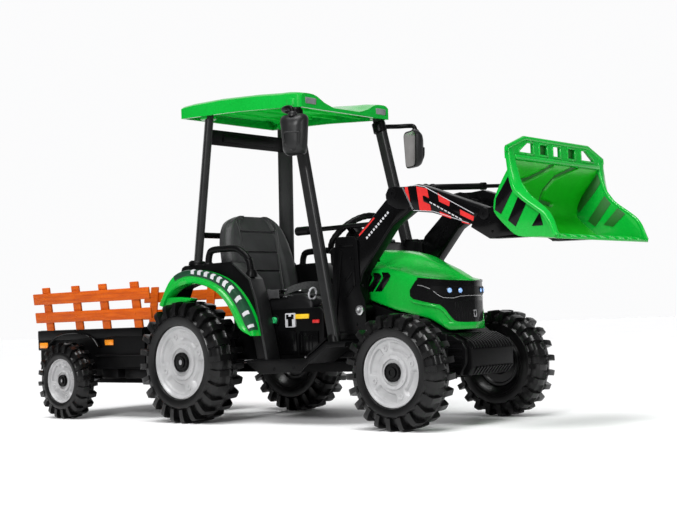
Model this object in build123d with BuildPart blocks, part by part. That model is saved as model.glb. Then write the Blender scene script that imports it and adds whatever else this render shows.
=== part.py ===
from build123d import *
import math
import os

os.makedirs("parts", exist_ok=True)

# Ride-on toy tractor with a front loader and a two-wheel trailer. Millimetres.
# Drawing datum: X forward from the front axle, Y to the left, Z up from the ground.
# Every piece is moved by DATUM_SHIFT on export, so the origin ends up on the ground
# below the middle of the overall length.

# ---- driving dimensions -------------------------------------------------------
DATUM_SHIFT = 583.0
RUN = 0.05                 # radial running clearance of shafts and pins
GAP = 0.3                  # clearance between neighbours on different bodies

FRONT_R, FRONT_W, FRONT_Y, FRONT_RIM_R = 158.5, 96.0, 249.0, 96.0
REAR_X, REAR_R, REAR_W, REAR_Y, REAR_RIM_R = -836.0, 190.0, 116.0, 250.5, 115.0
TRAILER_X, TRAILER_R, TRAILER_W, TRAILER_Y, TRAILER_RIM_R = -1441.0, 130.0, 70.0, 276.0, 76.0
AXLE_R = 8.0

KINGPIN_Y, KINGPIN_R = 165.0, 6.0
STEER_ARM, TIE_PIN_R = 55.0, 4.0
COLUMN_TOP = (-350.4, 560.7)
COLUMN_DIR = (0.636, -0.772)
COLUMN_LENGTH = 480.0
COLUMN_R = 8.0
CRANK = 30.0
WHEEL_RING_R, WHEEL_TUBE_R = 86.0, 10.0

LEVER_PIVOT = (-373.0, 326.0)
PEDAL_PIVOT, PEDAL_PIN_R = (-376.0, 199.0), 3.0
LIFT_PIVOT = (-190.0, 330.0)
LIFT_PIN_R = 8.0
ARM_IN, ARM_OUT = 137.0, 173.0
TOWER_IN, TOWER_OUT, TOWER_SKIN = 131.0, 179.0, 4.0
CROSS_TUBE = (5.0, 630.0)
CROSS_TUBE_R = 12.0
BUCKET_PIN = (253.0, 570.0)
BUCKET_PIN_R = 7.0
BUCKET_HALF = 230.0
ROD_REAR = (-65.0, 680.0)
ROD_FRONT = (296.0, 652.0)
ROD_R, BARREL_R, ROD_PIN_R = 5.5, 9.0, 4.0

HITCH_X = -1000.0
HITCH_PIN_R = 7.0
BED_Z = 140.0


def save(solid, name):
    """Label one finished piece, move it to the final origin and write it."""
    moved = solid.moved(Location((DATUM_SHIFT, 0, 0)))
    moved.label = name
    export_step(moved, f"parts/{name}.step")


def slab(outline, y_from, y_to, mode=Mode.ADD, inset=0.0):
    """Side-view outline (X, Z) extruded between two Y values in the current part."""
    with BuildSketch(Plane.XZ.offset(-y_from)) as face:
        with BuildLine():
            Polyline(*outline, close=True)
        make_face()
        if inset:
            offset(amount=-inset, kind=Kind.INTERSECTION)
    extrude(face.sketch, amount=-(y_to - y_from), mode=mode)


def layer(outline, z_from, z_to, mode=Mode.ADD):
    """Plan outline (X, Y) extruded between two heights in the current part."""
    with BuildSketch(Plane.XY.offset(z_from)) as face:
        with BuildLine():
            Polyline(*outline, close=True)
        make_face()
    extrude(face.sketch, amount=z_to - z_from, mode=mode)


def block(x, y, z, mode=Mode.ADD):
    """Box between pairs of X, Y and Z values in the current part."""
    layer([(x[0], y[0]), (x[1], y[0]), (x[1], y[1]), (x[0], y[1])], z[0], z[1], mode)


def rod_y(centre, radius, y_from, y_to, mode=Mode.ADD):
    """Round bar or hole along Y at an (X, Z) centre in the current part."""
    with BuildSketch(Plane.XZ.offset(-y_from)) as disc:
        with Locations(centre):
            Circle(radius)
    extrude(disc.sketch, amount=-(y_to - y_from), mode=mode)


def rod_z(centre, radius, z_from, z_to, mode=Mode.ADD):
    """Round bar or hole along Z at an (X, Y) centre in the current part."""
    with BuildSketch(Plane.XY.offset(z_from)) as disc:
        with Locations(centre):
            Circle(radius)
    extrude(disc.sketch, amount=z_to - z_from, mode=mode)


def bar(start, direction, length, section_radii, x_dir=(0, 1, 0), mode=Mode.ADD):
    """Straight bar of elliptical or round section from a start point in the current part."""
    with BuildSketch(Plane(origin=start, x_dir=x_dir, z_dir=direction)) as section:
        if section_radii[0] == section_radii[1]:
            Circle(section_radii[0])
        else:
            Ellipse(*section_radii)
    extrude(section.sketch, amount=length, mode=mode)


def both_sides(build):
    """Yield the left (+Y) and right (-Y) versions of a piece built at +Y."""
    left = build()
    return {"left": left, "right": mirror(left, about=Plane.XZ, mode=Mode.PRIVATE)}


# ---- wheels --------------------------------------------------------------------
def tyre(x, y, radius, width, rim_radius):
    """Chunky tyre with rounded shoulders, its axis along Y through (x, radius)."""
    half = width / 2
    with BuildPart() as ring:
        with BuildSketch(Plane.YZ) as section:
            with BuildLine():
                Polyline(
                    (y - half * 0.8, rim_radius), (y + half * 0.8, rim_radius),
                    (y + half, rim_radius + 16), (y + half, radius - 20),
                    (y + half - 12, radius), (y - half + 12, radius),
                    (y - half, radius - 20), (y - half, rim_radius + 16), close=True,
                )
            make_face()
        revolve(section.sketch, axis=Axis((0, 0, 0), (0, 1, 0)))
    return ring.part.moved(Location((x, 0, radius)))


def rim(x, y, radius, width, rim_radius, bore_radius):
    """Dished wheel: barrel, sloping web and a long hub with its bore."""
    half = width / 2 * 0.8
    hub = bore_radius + 16
    with BuildPart() as wheel:
        with BuildSketch(Plane.YZ) as section:
            with BuildLine():
                Polyline(
                    (y - half, rim_radius), (y + half, rim_radius),
                    (y + half, rim_radius - 14), (y + half - 26, rim_radius - 24),
                    (y + half - 18, hub + 12), (y + half - 6, hub), (y + half - 6, bore_radius),
                    (y - half, bore_radius), (y - half, hub), (y + half - 26, hub + 6),
                    (y + half - 34, rim_radius - 24), (y - half, rim_radius - 10), close=True,
                )
            make_face()
        revolve(section.sketch, axis=Axis((0, 0, 0), (0, 1, 0)))
    return wheel.part.moved(Location((x, 0, radius)))


WHEELS = {
    "front": (0.0, FRONT_Y, FRONT_R, FRONT_W, FRONT_RIM_R),
    "rear": (REAR_X, REAR_Y, REAR_R, REAR_W, REAR_RIM_R),
    "trailer": (TRAILER_X, TRAILER_Y, TRAILER_R, TRAILER_W, TRAILER_RIM_R),
}
for place, (wx, wy, wr, ww, rim_r) in WHEELS.items():
    for side, sign in (("left", 1), ("right", -1)):
        rubber = tyre(wx, wy, wr, ww, rim_r)
        metal = rim(wx, wy, wr, ww, rim_r, AXLE_R + RUN)
        if sign < 0:
            rubber = mirror(rubber, about=Plane.XZ)
            metal = mirror(metal, about=Plane.XZ)
        save(rubber, f"{place}_tyre_{side}")
        save(metal, f"{place}_rim_{side}")


# ---- steel frame, rear axle and motors ---------------------------------------------
RAIL_Z = (150.0, 178.0)
with BuildPart() as frame_rails:
    for sign in (1, -1):
        block((-930, 68), sorted((sign * 66, sign * 96)), RAIL_Z)
        slab([(-862, 150), (-810, 150), (-818, 208), (-854, 208)], sign * 96, sign * 66)
        rod_z((0, sign * KINGPIN_Y), 13, 150, 172)
    for x in (-930, -600, -350, 38):
        block((x, x + 30), (-96, 96), RAIL_Z)
    block((-12, 12), (-KINGPIN_Y, KINGPIN_Y), (150, 172))
    rod_z((0, KINGPIN_Y), KINGPIN_R + RUN, 140, 180, Mode.SUBTRACT)
    rod_z((0, -KINGPIN_Y), KINGPIN_R + RUN, 140, 180, Mode.SUBTRACT)
    rod_y((REAR_X, REAR_R), AXLE_R, -120, 120, Mode.SUBTRACT)
save(frame_rails.part, "frame_rails")

with BuildPart() as rear_axle:
    rod_y((REAR_X, REAR_R), AXLE_R, -REAR_Y - 44, REAR_Y + 44)
save(rear_axle.part, "rear_axle")

with BuildPart() as gearboxes:
    for sign in (1, -1):
        y_in, y_out = sorted((sign * 106, sign * 184))
        slab([(-880, 150), (-770, 150), (-740, 190), (-770, 240), (-880, 240)], y_in, y_out)
    rod_y((REAR_X, REAR_R), AXLE_R, -190, 190, Mode.SUBTRACT)
save(gearboxes.part, "motor_gearboxes")

with BuildPart() as hitch_bracket:
    layer([(-930, -50), (-930, 50), (HITCH_X - 22, 16), (HITCH_X - 22, -16)], 156, 164)
    rod_z((HITCH_X, 0), HITCH_PIN_R, 120, 164)
    rod_z((HITCH_X, 0), HITCH_PIN_R + 7, 164, 174)
save(hitch_bracket.part, "hitch_bracket")

# ---- floor with side steps -----------------------------------------------------------
FLOOR_Z = (183.0, 191.0)
with BuildPart() as floor_pan:
    block((-600, -348), (-240, 240), FLOOR_Z)
    for sign in (1, -1):
        y_in, y_out = sorted((sign * 161, sign * 240))
        slab([(-372, 183), (-348, 183), (-268, 232), (-202, 232), (-202, 243), (-272, 243)],
             y_in, y_out)
        y_in, y_out = sorted((sign * 124, sign * 161))
        slab([(-345, 186), (-268, 232), (-202, 232), (-202, 243), (-272, 243), (-345, 199)],
             y_in, y_out)
        y_in, y_out = sorted((sign * 232, sign * 240))
        slab([(-594, 183), (-540, 152), (-379, 160), (-340, 188)], y_in, y_out)
        block((-345, -202), sorted((sign * 86, sign * 124)), (183, 191))
        block((-340, -202), sorted((sign * 122, sign * 126)), (183, 243))
    for y in (-216, -182):
        slab([(-384, 189), (-384, 203), (-368, 203), (-368, 189)], y, y + 4)
    rod_y(PEDAL_PIVOT, PEDAL_PIN_R + RUN, -220, -170, Mode.SUBTRACT)
save(floor_pan.part, "floor_pan")

# ---- seat console with battery -----------------------------------------------------
CONSOLE = [(-735, 191), (-735, 343), (-352, 343), (-352, 191)]
with BuildPart() as seat_console:
    slab(CONSOLE, -160, 160)
    block((-731, -356), (-156, 156), (180, 339), Mode.SUBTRACT)
    rod_y((-548, 310), 10.3, -170, -150, Mode.SUBTRACT)
    block((-384, -362), (-134, -118), (330, 350), Mode.SUBTRACT)
    block((-382, -364), (-141, -134), (318, 339))
    block((-382, -364), (-118, -111), (318, 339))
    rod_y(LEVER_PIVOT, 4 + RUN, -150, -100, Mode.SUBTRACT)
save(seat_console.part, "seat_console")

with BuildPart() as battery:
    block((-560, -410), (-50, 50), (191, 286))
    fillet(battery.edges().filter_by(Axis.Z), 6)
    for y in (-30, 30):
        block((-430, -418), (y - 6, y + 6), (286, 294))
save(battery.part, "battery")

with BuildPart() as switch_plate:
    block((-502, -463), (-164, -160), (288, 329))
    fillet(switch_plate.edges().filter_by(Axis.Y), 3)
save(switch_plate.part, "switch_plate")

with BuildPart() as power_button:
    rod_y((-548, 310), 10, -168, -150)
    rod_y((-548, 310), 13, -150, -146)
save(power_button.part, "power_button")

# ---- seat ---------------------------------------------------------------------------
with BuildPart() as seat_base:
    slab([(-720, 343), (-720, 398), (-640, 376), (-440, 380), (-400, 362), (-400, 343)], -156, 156)
    fillet(seat_base.edges().filter_by(Axis.Y).group_by(Axis.Z)[-1], 8)
save(seat_base.part, "seat_base")

SEAT_HINGE = (-762, 0, 402)
with BuildPart() as seat_back:
    with BuildSketch(Plane(origin=SEAT_HINGE, x_dir=(0, 1, 0), z_dir=(0.967, 0, 0.255))) as face:
        with BuildLine():
            Polyline((-150, -2), (150, -2), (160, 90), (150, 165), (132, 215), (100, 246),
                     (-100, 246), (-132, 215), (-150, 165), (-160, 90), close=True)
        make_face()
    extrude(face.sketch, amount=44)
save(seat_back.part, "seat_back")

with BuildPart() as seat_belt:
    block((-600, -562), (-154, 60), (380, 383))
    block((-590, -540), (60, 120), (380, 394))
save(seat_belt.part, "seat_belt")

# ---- rear fenders, trims and grab handles ---------------------------------------------
ARCH_CENTRE, ARCH_R = (-822.0, 172.0), 264.0
FENDER = [(-938, 378), (-892, 452), (-872, 491), (-652, 494), (-538, 444), (-512, 357),
          (-483, 191), (-550, 191), (-585, 330), (-700, 420), (-900, 400)]
FENDER_IN, FENDER_OUT = 161.0, 240.0


with BuildPart() as fenders:
    slab(FENDER, FENDER_IN, FENDER_OUT)
    slab(FENDER, FENDER_IN + 4, FENDER_OUT - 4, Mode.SUBTRACT, inset=4)
    rod_y(ARCH_CENTRE, ARCH_R, FENDER_IN - 5, FENDER_OUT + 5, Mode.SUBTRACT)
    block((-600, -470), (FENDER_IN - 5, 206), (180, 350), Mode.SUBTRACT)
    mirror(about=Plane.XZ)
save(fenders.part, "fenders")

with BuildPart() as fender_trims:
    with BuildSketch(Plane.XZ.offset(-FENDER_OUT)) as arch_band:
        with BuildLine():
            ThreePointArc((-952, 370), (-902, 450), (-815, 478))
            ThreePointArc((-815, 478), (-640, 432), (-520, 250))
            Line((-520, 250), (-566, 250))
            ThreePointArc((-566, 250), (-655, 382), (-800, 435))
            ThreePointArc((-800, 435), (-880, 418), (-930, 366))
            Line((-930, 366), (-952, 370))
        make_face()
    extrude(arch_band.sketch, amount=-32)
    mirror(about=Plane.XZ)
save(fender_trims.part, "fender_trims")

with BuildPart() as grab_handles:
    for y in (-218, 218):
        with BuildLine(Plane.XZ.offset(-y)) as path:
            FilletPolyline((-772, 496.5), (-760, 535), (-640, 535), (-581, 500), (-579, 477),
                           radius=12)
        with BuildSketch(path.line ^ 0) as section:
            Circle(11)
        sweep(section.sketch, path=path.line)
save(grab_handles.part, "grab_handles")

# ---- hood, grille, lamps, bumper and cowl -----------------------------------------------
HOOD = [(-226, 508), (-126, 500), (-31, 462), (50, 424), (79, 401), (84, 330), (76, 266),
        (50, 262), (6, 300), (-102, 324), (-203, 358), (-226, 380)]
HOOD_HALF, HOOD_SKIN = 125.0, 4.0
GRILLE = [(-53, 369), (-26, 412), (56, 404), (77, 395), (84, 330), (83, 288), (66, 288), (44, 326),
          (34, 337), (6, 344), (-40, 356)]


def nose_volume(outline, inset):
    """Side-view outline cut by the pointed plan of the hood, both drawn in by inset."""
    with BuildPart() as volume:
        slab(outline, -HOOD_HALF - 5, HOOD_HALF + 5)
        with BuildSketch(Plane.XY) as plan:
            with BuildLine():
                Polyline((-400, -HOOD_HALF), (-40, -HOOD_HALF))
                ThreePointArc((-40, -HOOD_HALF), (18, -111), (52, -80))
                ThreePointArc((52, -80), (79, 0), (52, 80))
                ThreePointArc((52, 80), (18, 111), (-40, HOOD_HALF))
                Polyline((-40, HOOD_HALF), (-400, HOOD_HALF), (-400, -HOOD_HALF))
            make_face()
            offset(amount=-inset)
        extrude(plan.sketch, amount=600, mode=Mode.INTERSECT)
    return volume.part


HOOD_HOLLOW = [(-240, 503), (-127, 495), (-33, 457), (47, 419), (74, 397), (79, 330),
               (72, 250), (56, 250), (-240, 250)]
hood_outside = nose_volume(HOOD, 0)
hood_inside = nose_volume(HOOD_HOLLOW, HOOD_SKIN + 6)
grille_outside = nose_volume(GRILLE, -1)
grille_inside = nose_volume(GRILLE, HOOD_SKIN)
with BuildPart() as grille_band:
    add(grille_outside)
    add(grille_inside, mode=Mode.SUBTRACT)

with BuildPart() as hood:
    add(hood_outside)
    add(hood_inside, mode=Mode.SUBTRACT)
    add(grille_band.part, mode=Mode.SUBTRACT)
save(hood.part, "hood")

LAMPS = [(46, 375), (77, 376)]
with BuildPart() as lamp_bores:
    with BuildSketch(Plane.YZ) as spots:
        for y, z in LAMPS:
            with Locations((y, z), (-y, z)):
                Circle(9)
    extrude(spots.sketch, amount=200)

with BuildPart() as grille:
    add(grille_band.part)
    add(lamp_bores.part, mode=Mode.SUBTRACT)
save(grille.part, "grille")

with BuildPart() as headlamps:
    add(grille_band.part)
    add(lamp_bores.part, mode=Mode.INTERSECT)
save(headlamps.part, "headlamps")

BUMPER = [(68, 150), (68, 254), (84, 252), (130, 229), (140, 216), (140, 168), (118, 150)]
BUMPER_HALF = 116.0
with BuildPart() as bumper:
    slab(BUMPER, -BUMPER_HALF, BUMPER_HALF)
    fillet(bumper.edges().filter_by(Axis.Z).group_by(Axis.X)[-1], 14)
save(bumper.part, "front_bumper")

COWL = [(-345, 191), (-345, 478), (-272, 538), (-232, 507), (-232, 377), (-209, 352), (-104, 318), (3, 294),
        (52, 257), (66, 257), (66, 191)]
with BuildPart() as cowl:
    slab(COWL, -121, 121)
    slab(COWL, -116, 116, Mode.SUBTRACT, inset=5)
    block((-338, 60), (-110, 110), (180, 200), Mode.SUBTRACT)
    bar((COLUMN_TOP[0], 0, COLUMN_TOP[1]), (COLUMN_DIR[0], 0, COLUMN_DIR[1]), COLUMN_LENGTH,
        (13, 13), mode=Mode.SUBTRACT)
    slab([(-60, 200), (-20, 200), (40, 260), (0, 330), (-80, 330)], -14, 14, Mode.SUBTRACT)
save(cowl.part, "cowl")

# ---- steering ------------------------------------------------------------------------
COLUMN_PLANE = Plane(origin=(COLUMN_TOP[0], 0, COLUMN_TOP[1]), x_dir=(0, 1, 0),
                     z_dir=(COLUMN_DIR[0], 0, COLUMN_DIR[1]))
PANEL_DEPTH = 64.0
with BuildPart() as dash_panel:
    with BuildSketch(COLUMN_PLANE.offset(PANEL_DEPTH - 9)) as face:
        RectangleRounded(220, 92, 12)
        Circle(COLUMN_R + RUN, mode=Mode.SUBTRACT)
    extrude(face.sketch, amount=6)
save(dash_panel.part, "dash_panel")

with BuildPart() as steering_shaft:
    with BuildSketch(COLUMN_PLANE.offset(12)) as section:
        Circle(COLUMN_R)
    extrude(section.sketch, amount=COLUMN_LENGTH - 12)
    with BuildSketch(COLUMN_PLANE.offset(COLUMN_LENGTH - 10)) as crank:
        with Locations((0, 0)):
            Circle(13)
        with Locations((0, -CRANK)):
            Circle(9)
        with Locations((0, -CRANK / 2)):
            Rectangle(16, CRANK)
    extrude(crank.sketch, amount=10)
    with BuildSketch(COLUMN_PLANE.offset(COLUMN_LENGTH)) as pin:
        with Locations((0, -CRANK)):
            Circle(TIE_PIN_R)
    extrude(pin.sketch, amount=62)
save(steering_shaft.part, "steering_shaft")

with BuildPart() as steering_wheel:
    with BuildSketch(Plane(origin=COLUMN_PLANE.origin, x_dir=(0, 1, 0),
                           z_dir=COLUMN_PLANE.y_dir)) as ring:
        with Locations((WHEEL_RING_R, 0)):
            Circle(WHEEL_TUBE_R)
    revolve(ring.sketch, axis=Axis(COLUMN_PLANE.origin, COLUMN_PLANE.z_dir))
    with BuildSketch(COLUMN_PLANE.offset(-10)) as hub:
        Circle(30)
    extrude(hub.sketch, amount=22)
    with BuildSketch(COLUMN_PLANE.offset(-5)) as spokes:
        with PolarLocations(WHEEL_RING_R / 2, 3, start_angle=-90):
            Rectangle(WHEEL_RING_R - 6, 24)
    extrude(spokes.sketch, amount=9)
    with BuildSketch(COLUMN_PLANE.offset(-11)) as recess:
        Circle(20)
    extrude(recess.sketch, amount=12, mode=Mode.SUBTRACT)
save(steering_wheel.part, "steering_wheel")

with BuildPart() as horn_button:
    with BuildSketch(COLUMN_PLANE.offset(-15)) as cap:
        Circle(19.7)
    extrude(cap.sketch, amount=11)
save(horn_button.part, "horn_button")


def knuckle():
    """Stub axle with its kingpin, clevis and steering arm."""
    with BuildPart() as piece:
        block((-13, 13), (KINGPIN_Y - 12, 194), (172.3, 182))
        block((-13, 13), (KINGPIN_Y - 12, 194), (137, 149.7))
        block((-13, 13), (182, 194), (137, 182))
        rod_z((0, KINGPIN_Y), KINGPIN_R, 140, 180)
        block((-STEER_ARM - 9, 0), (KINGPIN_Y - 9, KINGPIN_Y + 9), (137, 146))
        rod_z((-STEER_ARM, KINGPIN_Y), TIE_PIN_R, 122, 140)
        rod_y((0, FRONT_R), AXLE_R, 190, FRONT_Y + 34)
    return piece.part


for side, solid in both_sides(knuckle).items():
    save(solid, f"knuckle_{side}")

TIE_Z = (124.0, 132.0)
with BuildPart() as tie_rod:
    block((-66, -42), (-182, 182), TIE_Z)
    block((-66, -4), (-20, 20), TIE_Z)
    for y in (-KINGPIN_Y, KINGPIN_Y):
        with BuildSketch(Plane.XY.offset(TIE_Z[0])) as slot:
            with Locations((-STEER_ARM + 1.5, y)):
                RectangleRounded(15, 10, 4)
        extrude(slot.sketch, amount=10, mode=Mode.SUBTRACT)
    with BuildSketch(Plane.XY.offset(TIE_Z[0])) as slot:
        with Locations((-29, 0)):
            RectangleRounded(34, 11, 4)
    extrude(slot.sketch, amount=10, mode=Mode.SUBTRACT)
save(tie_rod.part, "tie_rod")

# ---- pedal and shift lever ------------------------------------------------------------
with BuildPart() as pedal:
    slab([(-382, 196), (-376, 206), (-296, 256), (-290, 249), (-370, 195)], -210, -184)
    rod_y(PEDAL_PIVOT, PEDAL_PIN_R, -216, -178)
save(pedal.part, "accelerator_pedal")

with BuildPart() as gear_lever:
    slab([(-377, 322), (-369, 322), (-370, 404), (-376, 404)], -130, -122)
    rod_y(LEVER_PIVOT, 4, -140, -112)
    rod_z((-373, -126), 11, 400, 428)
save(gear_lever.part, "gear_lever")

# ---- canopy, posts and mirrors -----------------------------------------------------------
POST_REAR = ((-837.0, 206.0, 498.0), (-796.0, 174.0, 972.0))
POST_FRONT = ((-252.0, 222.0, 248.0), (-405.0, 196.0, 957.0))


def post(ends, radii, twist):
    """Flattened tube between two points, its long section axis turned by twist degrees."""
    start, end = Vector(*ends[0]), Vector(*ends[1])
    turned = Vector(math.cos(math.radians(twist)), math.sin(math.radians(twist)), 0)
    bar(start, (end - start).normalized(), (end - start).length, radii, x_dir=turned)


with BuildPart() as rear_posts:
    post(POST_REAR, (25, 13.5), 39)
    mirror(about=Plane.XZ)
save(rear_posts.part, "rear_posts")

with BuildPart() as front_posts:
    post(POST_FRONT, (18, 14), 0)
    mirror(about=Plane.XZ)
save(front_posts.part, "front_posts")

with BuildPart() as rear_crossbars:
    slab([(-806, 880), (-798, 928), (-790, 928), (-798, 880)], -156, 156)
    slab([(-836, 580), (-834, 600), (-822, 600), (-824, 580)], -180, 180)
save(rear_crossbars.part, "rear_crossbars")

ROOF = [(-905, 972), (-904, 1002), (-830, 1008), (-702, 1006), (-545, 996), (-420, 984),
        (-366, 972), (-366, 938), (-400, 940), (-640, 960)]
ROOF_HALF = 214.0
with BuildPart() as roof:
    slab(ROOF, -ROOF_HALF, ROOF_HALF)
    fillet(roof.edges().filter_by(Axis.Z), 18)
    with BuildPart(mode=Mode.PRIVATE) as recess:
        slab([(-893, 900), (-893, 990), (-702, 994), (-545, 984), (-425, 972), (-380, 962),
              (-380, 900)], -ROOF_HALF + 3, ROOF_HALF - 3)
    add(recess.part, mode=Mode.SUBTRACT)
save(roof.part, "roof")

MIRROR, MIRROR_CLAMP = (-326.0, 288.0), 212.0
MIRROR_TURN = 67.0         # the reflecting face looks in towards the driver
with BuildPart() as mirror_arms:
    for sign in (1, -1):
        y_in, y_out = sorted((sign * MIRROR_CLAMP, sign * (MIRROR[1] + 8)))
        block((-392, -374), (y_in, y_out), (912, 926))
        block((-392, MIRROR[0] + 8), sorted((sign * (MIRROR[1] - 8), sign * (MIRROR[1] + 8))),
              (912, 926))
        rod_z((MIRROR[0], sign * MIRROR[1]), 5, 888, 920)
save(mirror_arms.part, "mirror_arms")


def mirror_body():
    """Mirror housing with its socket, the reflecting face towards the driver."""
    x, y = MIRROR
    with BuildPart() as shell:
        block((x - 20, x + 18), (y - 38, y + 38), (784, 904))
        fillet(shell.edges().filter_by(Axis.X), 14)
        rod_z((x, y), 5 + RUN, 886, 910, Mode.SUBTRACT)
    return shell.part.rotate(Axis((x, y, 0), (0, 0, 1)), MIRROR_TURN)


for side, solid in both_sides(mirror_body).items():
    save(solid, f"mirror_{side}")

# ---- loader towers -------------------------------------------------------------------
TOWER = [(-312, 243), (-277, 543), (-165, 541), (-159, 359), (-165, 243)]
TOWER_WEB = [(-312, 243), (-277, 543), (-272, 543), (-307, 243)]


with BuildPart() as towers:
    slab(TOWER, TOWER_IN, TOWER_IN + TOWER_SKIN)
    slab(TOWER, TOWER_OUT - TOWER_SKIN, TOWER_OUT)
    slab(TOWER_WEB, TOWER_IN, TOWER_OUT)
    block((-311, -166), (TOWER_IN, TOWER_OUT), (243, 248))
    rod_y(LIFT_PIVOT, LIFT_PIN_R, TOWER_IN - 5, TOWER_OUT + 5, Mode.SUBTRACT)
    mirror(about=Plane.XZ)
save(towers.part, "towers")

with BuildPart() as lift_pins:
    for sign in (1, -1):
        rod_y(LIFT_PIVOT, LIFT_PIN_R, *sorted((sign * 129, sign * 186)))
        rod_y(LIFT_PIVOT, 15, *sorted((sign * TOWER_OUT, sign * 186)))
save(lift_pins.part, "lift_pins")

# ---- loader arms -----------------------------------------------------------------------
ARM = [(-176, 320), (-183, 405), (-166, 437), (-57, 563), (2, 598), (74, 588), (207, 545),
       (262, 556), (262, 584), (62, 660), (30, 671), (-11, 668), (-65, 671), (-86, 638),
       (-190, 550), (-222, 490), (-226, 420), (-206, 338)]


def lift_arm():
    """Cranked loader arm with its lift bore and its bucket bore."""
    with BuildPart() as arm:
        slab(ARM, ARM_IN, ARM_OUT)
        rod_y(LIFT_PIVOT, 17, ARM_IN, ARM_OUT)
        rod_y(BUCKET_PIN, 17, ARM_IN, ARM_OUT)
        rod_y(LIFT_PIVOT, LIFT_PIN_R + RUN, ARM_IN - 1, ARM_OUT + 1, Mode.SUBTRACT)
        rod_y(BUCKET_PIN, BUCKET_PIN_R + RUN, ARM_IN - 1, ARM_OUT + 1, Mode.SUBTRACT)
    return arm.part


for side, solid in both_sides(lift_arm).items():
    save(solid, f"lift_arm_{side}")

with BuildPart() as cross_tube:
    rod_y(CROSS_TUBE, CROSS_TUBE_R, -ARM_IN, ARM_IN)
    for sign in (1, -1):
        slab([(8, 618), (16, 632), (-60, 690), (-76, 684), (-72, 668), (-6, 620)],
             *sorted((sign * 12, sign * 16)))
    rod_y(ROD_REAR, ROD_PIN_R, -18, 18)
save(cross_tube.part, "cross_tube")

with BuildPart() as control_lever:
    bar((-448, -155, 575), (1, 0, 0), 52, (13.5, 13.5), x_dir=(0, 1, 0))
    bar((-400, -155, 575), (1, 0, 0), 275, (7, 7), x_dir=(0, 1, 0))
    slab(ARM, -ARM_OUT, -ARM_IN, Mode.SUBTRACT)
save(control_lever.part, "control_lever")

# ---- tilt cylinder and rod -----------------------------------------------------------------
ROD_LINE = (Vector(ROD_FRONT[0], 0, ROD_FRONT[1]) - Vector(ROD_REAR[0], 0, ROD_REAR[1]))
ROD_AXIS = ROD_LINE.normalized()
BARREL_END = 200.0


def along_rod(distance):
    """Point on the cylinder axis at a distance from its rear pin."""
    return Vector(ROD_REAR[0], 0, ROD_REAR[1]) + ROD_AXIS * distance


with BuildPart() as tilt_cylinder:
    rod_y(ROD_REAR, 9, -11.5, 11.5)
    bar(along_rod(6), ROD_AXIS, BARREL_END - 6, (BARREL_R, BARREL_R))
    bar(along_rod(14), ROD_AXIS, BARREL_END, (ROD_R + RUN, ROD_R + RUN), mode=Mode.SUBTRACT)
    rod_y(ROD_REAR, ROD_PIN_R + RUN, -20, 20, Mode.SUBTRACT)
save(tilt_cylinder.part, "tilt_cylinder")

with BuildPart() as tilt_rod:
    bar(along_rod(60), ROD_AXIS, ROD_LINE.length - 60, (ROD_R, ROD_R))
    rod_y(ROD_FRONT, 8, -6, 6)
    rod_y(ROD_FRONT, 3.5, -17, 17)
save(tilt_rod.part, "tilt_rod")

# ---- bucket ---------------------------------------------------------------------------------
BUCKET_SIDE = [(368, 728), (366, 684), (328, 655), (314, 600), (325, 558), (377, 507), (502, 489),
               (479, 561), (408, 622), (380, 684), (374, 728)]
BUCKET_BACK = [(367, 760), (366, 684), (328, 655), (314, 600), (325, 558), (377, 507), (502, 489),
               (502, 493), (379, 512), (330, 561), (319, 600), (332, 652), (371, 681), (372, 758)]
with BuildPart() as bucket:
    slab(BUCKET_BACK, -BUCKET_HALF, BUCKET_HALF)
    for sign in (1, -1):
        slab(BUCKET_SIDE, *sorted((sign * BUCKET_HALF, sign * (BUCKET_HALF - 5))))
        for inner, outer in ((ARM_IN - 6, ARM_IN - 1), (ARM_OUT + 1, ARM_OUT + 6)):
            slab([(236, 570), (262, 508), (378, 506), (326, 558), (320, 600), (290, 592),
                  (266, 590), (246, 586)], *sorted((sign * inner, sign * outer)))
        rod_y(BUCKET_PIN, BUCKET_PIN_R, *sorted((sign * (ARM_IN - 8), sign * (ARM_OUT + 10))))
        slab([(322, 628), (278, 634), (278, 672), (355, 674)],
             *sorted((sign * 9, sign * 15)))
    with BuildSketch(Plane.XZ.offset(30)) as window:
        with Locations((ROD_FRONT[0] + 1.5, ROD_FRONT[1])):
            RectangleRounded(17, 20, 4)
    extrude(window.sketch, amount=-60, mode=Mode.SUBTRACT)
save(bucket.part, "bucket")

# ---- trailer ----------------------------------------------------------------------------------
TUB_X, TUB_HALF = (-1668.0, -1090.0), 222.0
with BuildPart() as trailer_tub:
    block(TUB_X, (-TUB_HALF, TUB_HALF), (BED_Z, 304))
    block((TUB_X[0] - 1, TUB_X[1] - 5), (-TUB_HALF + 5, TUB_HALF - 5), (BED_Z + 8, 310),
          Mode.SUBTRACT)
    block((TUB_X[0], TUB_X[0] + 5), (-TUB_HALF, TUB_HALF), (BED_Z, 266))
    for sign in (1, -1):
        block(TUB_X, sorted((sign * (TUB_HALF - 5), sign * (TUB_HALF + 18))), (298, 306))
save(trailer_tub.part, "trailer_tub")

with BuildPart() as trailer_frame:
    for sign in (1, -1):
        y_in, y_out = sorted((sign * 120, sign * 144))
        block((-1640, -1096), (y_in, y_out), (114, BED_Z))
    block((-1120, -1096), (-144, 144), (114, BED_Z))
    block((-1640, -1616), (-144, 144), (114, BED_Z))
    layer([(-1100, -14), (-1100, 14), (HITCH_X - 16, 14), (HITCH_X - 16, -14)], 126, 136)
    rod_z((HITCH_X, 0), 20, 126, 136)
    rod_z((HITCH_X, 0), HITCH_PIN_R + RUN, 120, 160, Mode.SUBTRACT)
    rod_y((TRAILER_X, TRAILER_R), AXLE_R, -TRAILER_Y - 26, TRAILER_Y + 26)
save(trailer_frame.part, "trailer_frame")

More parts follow.
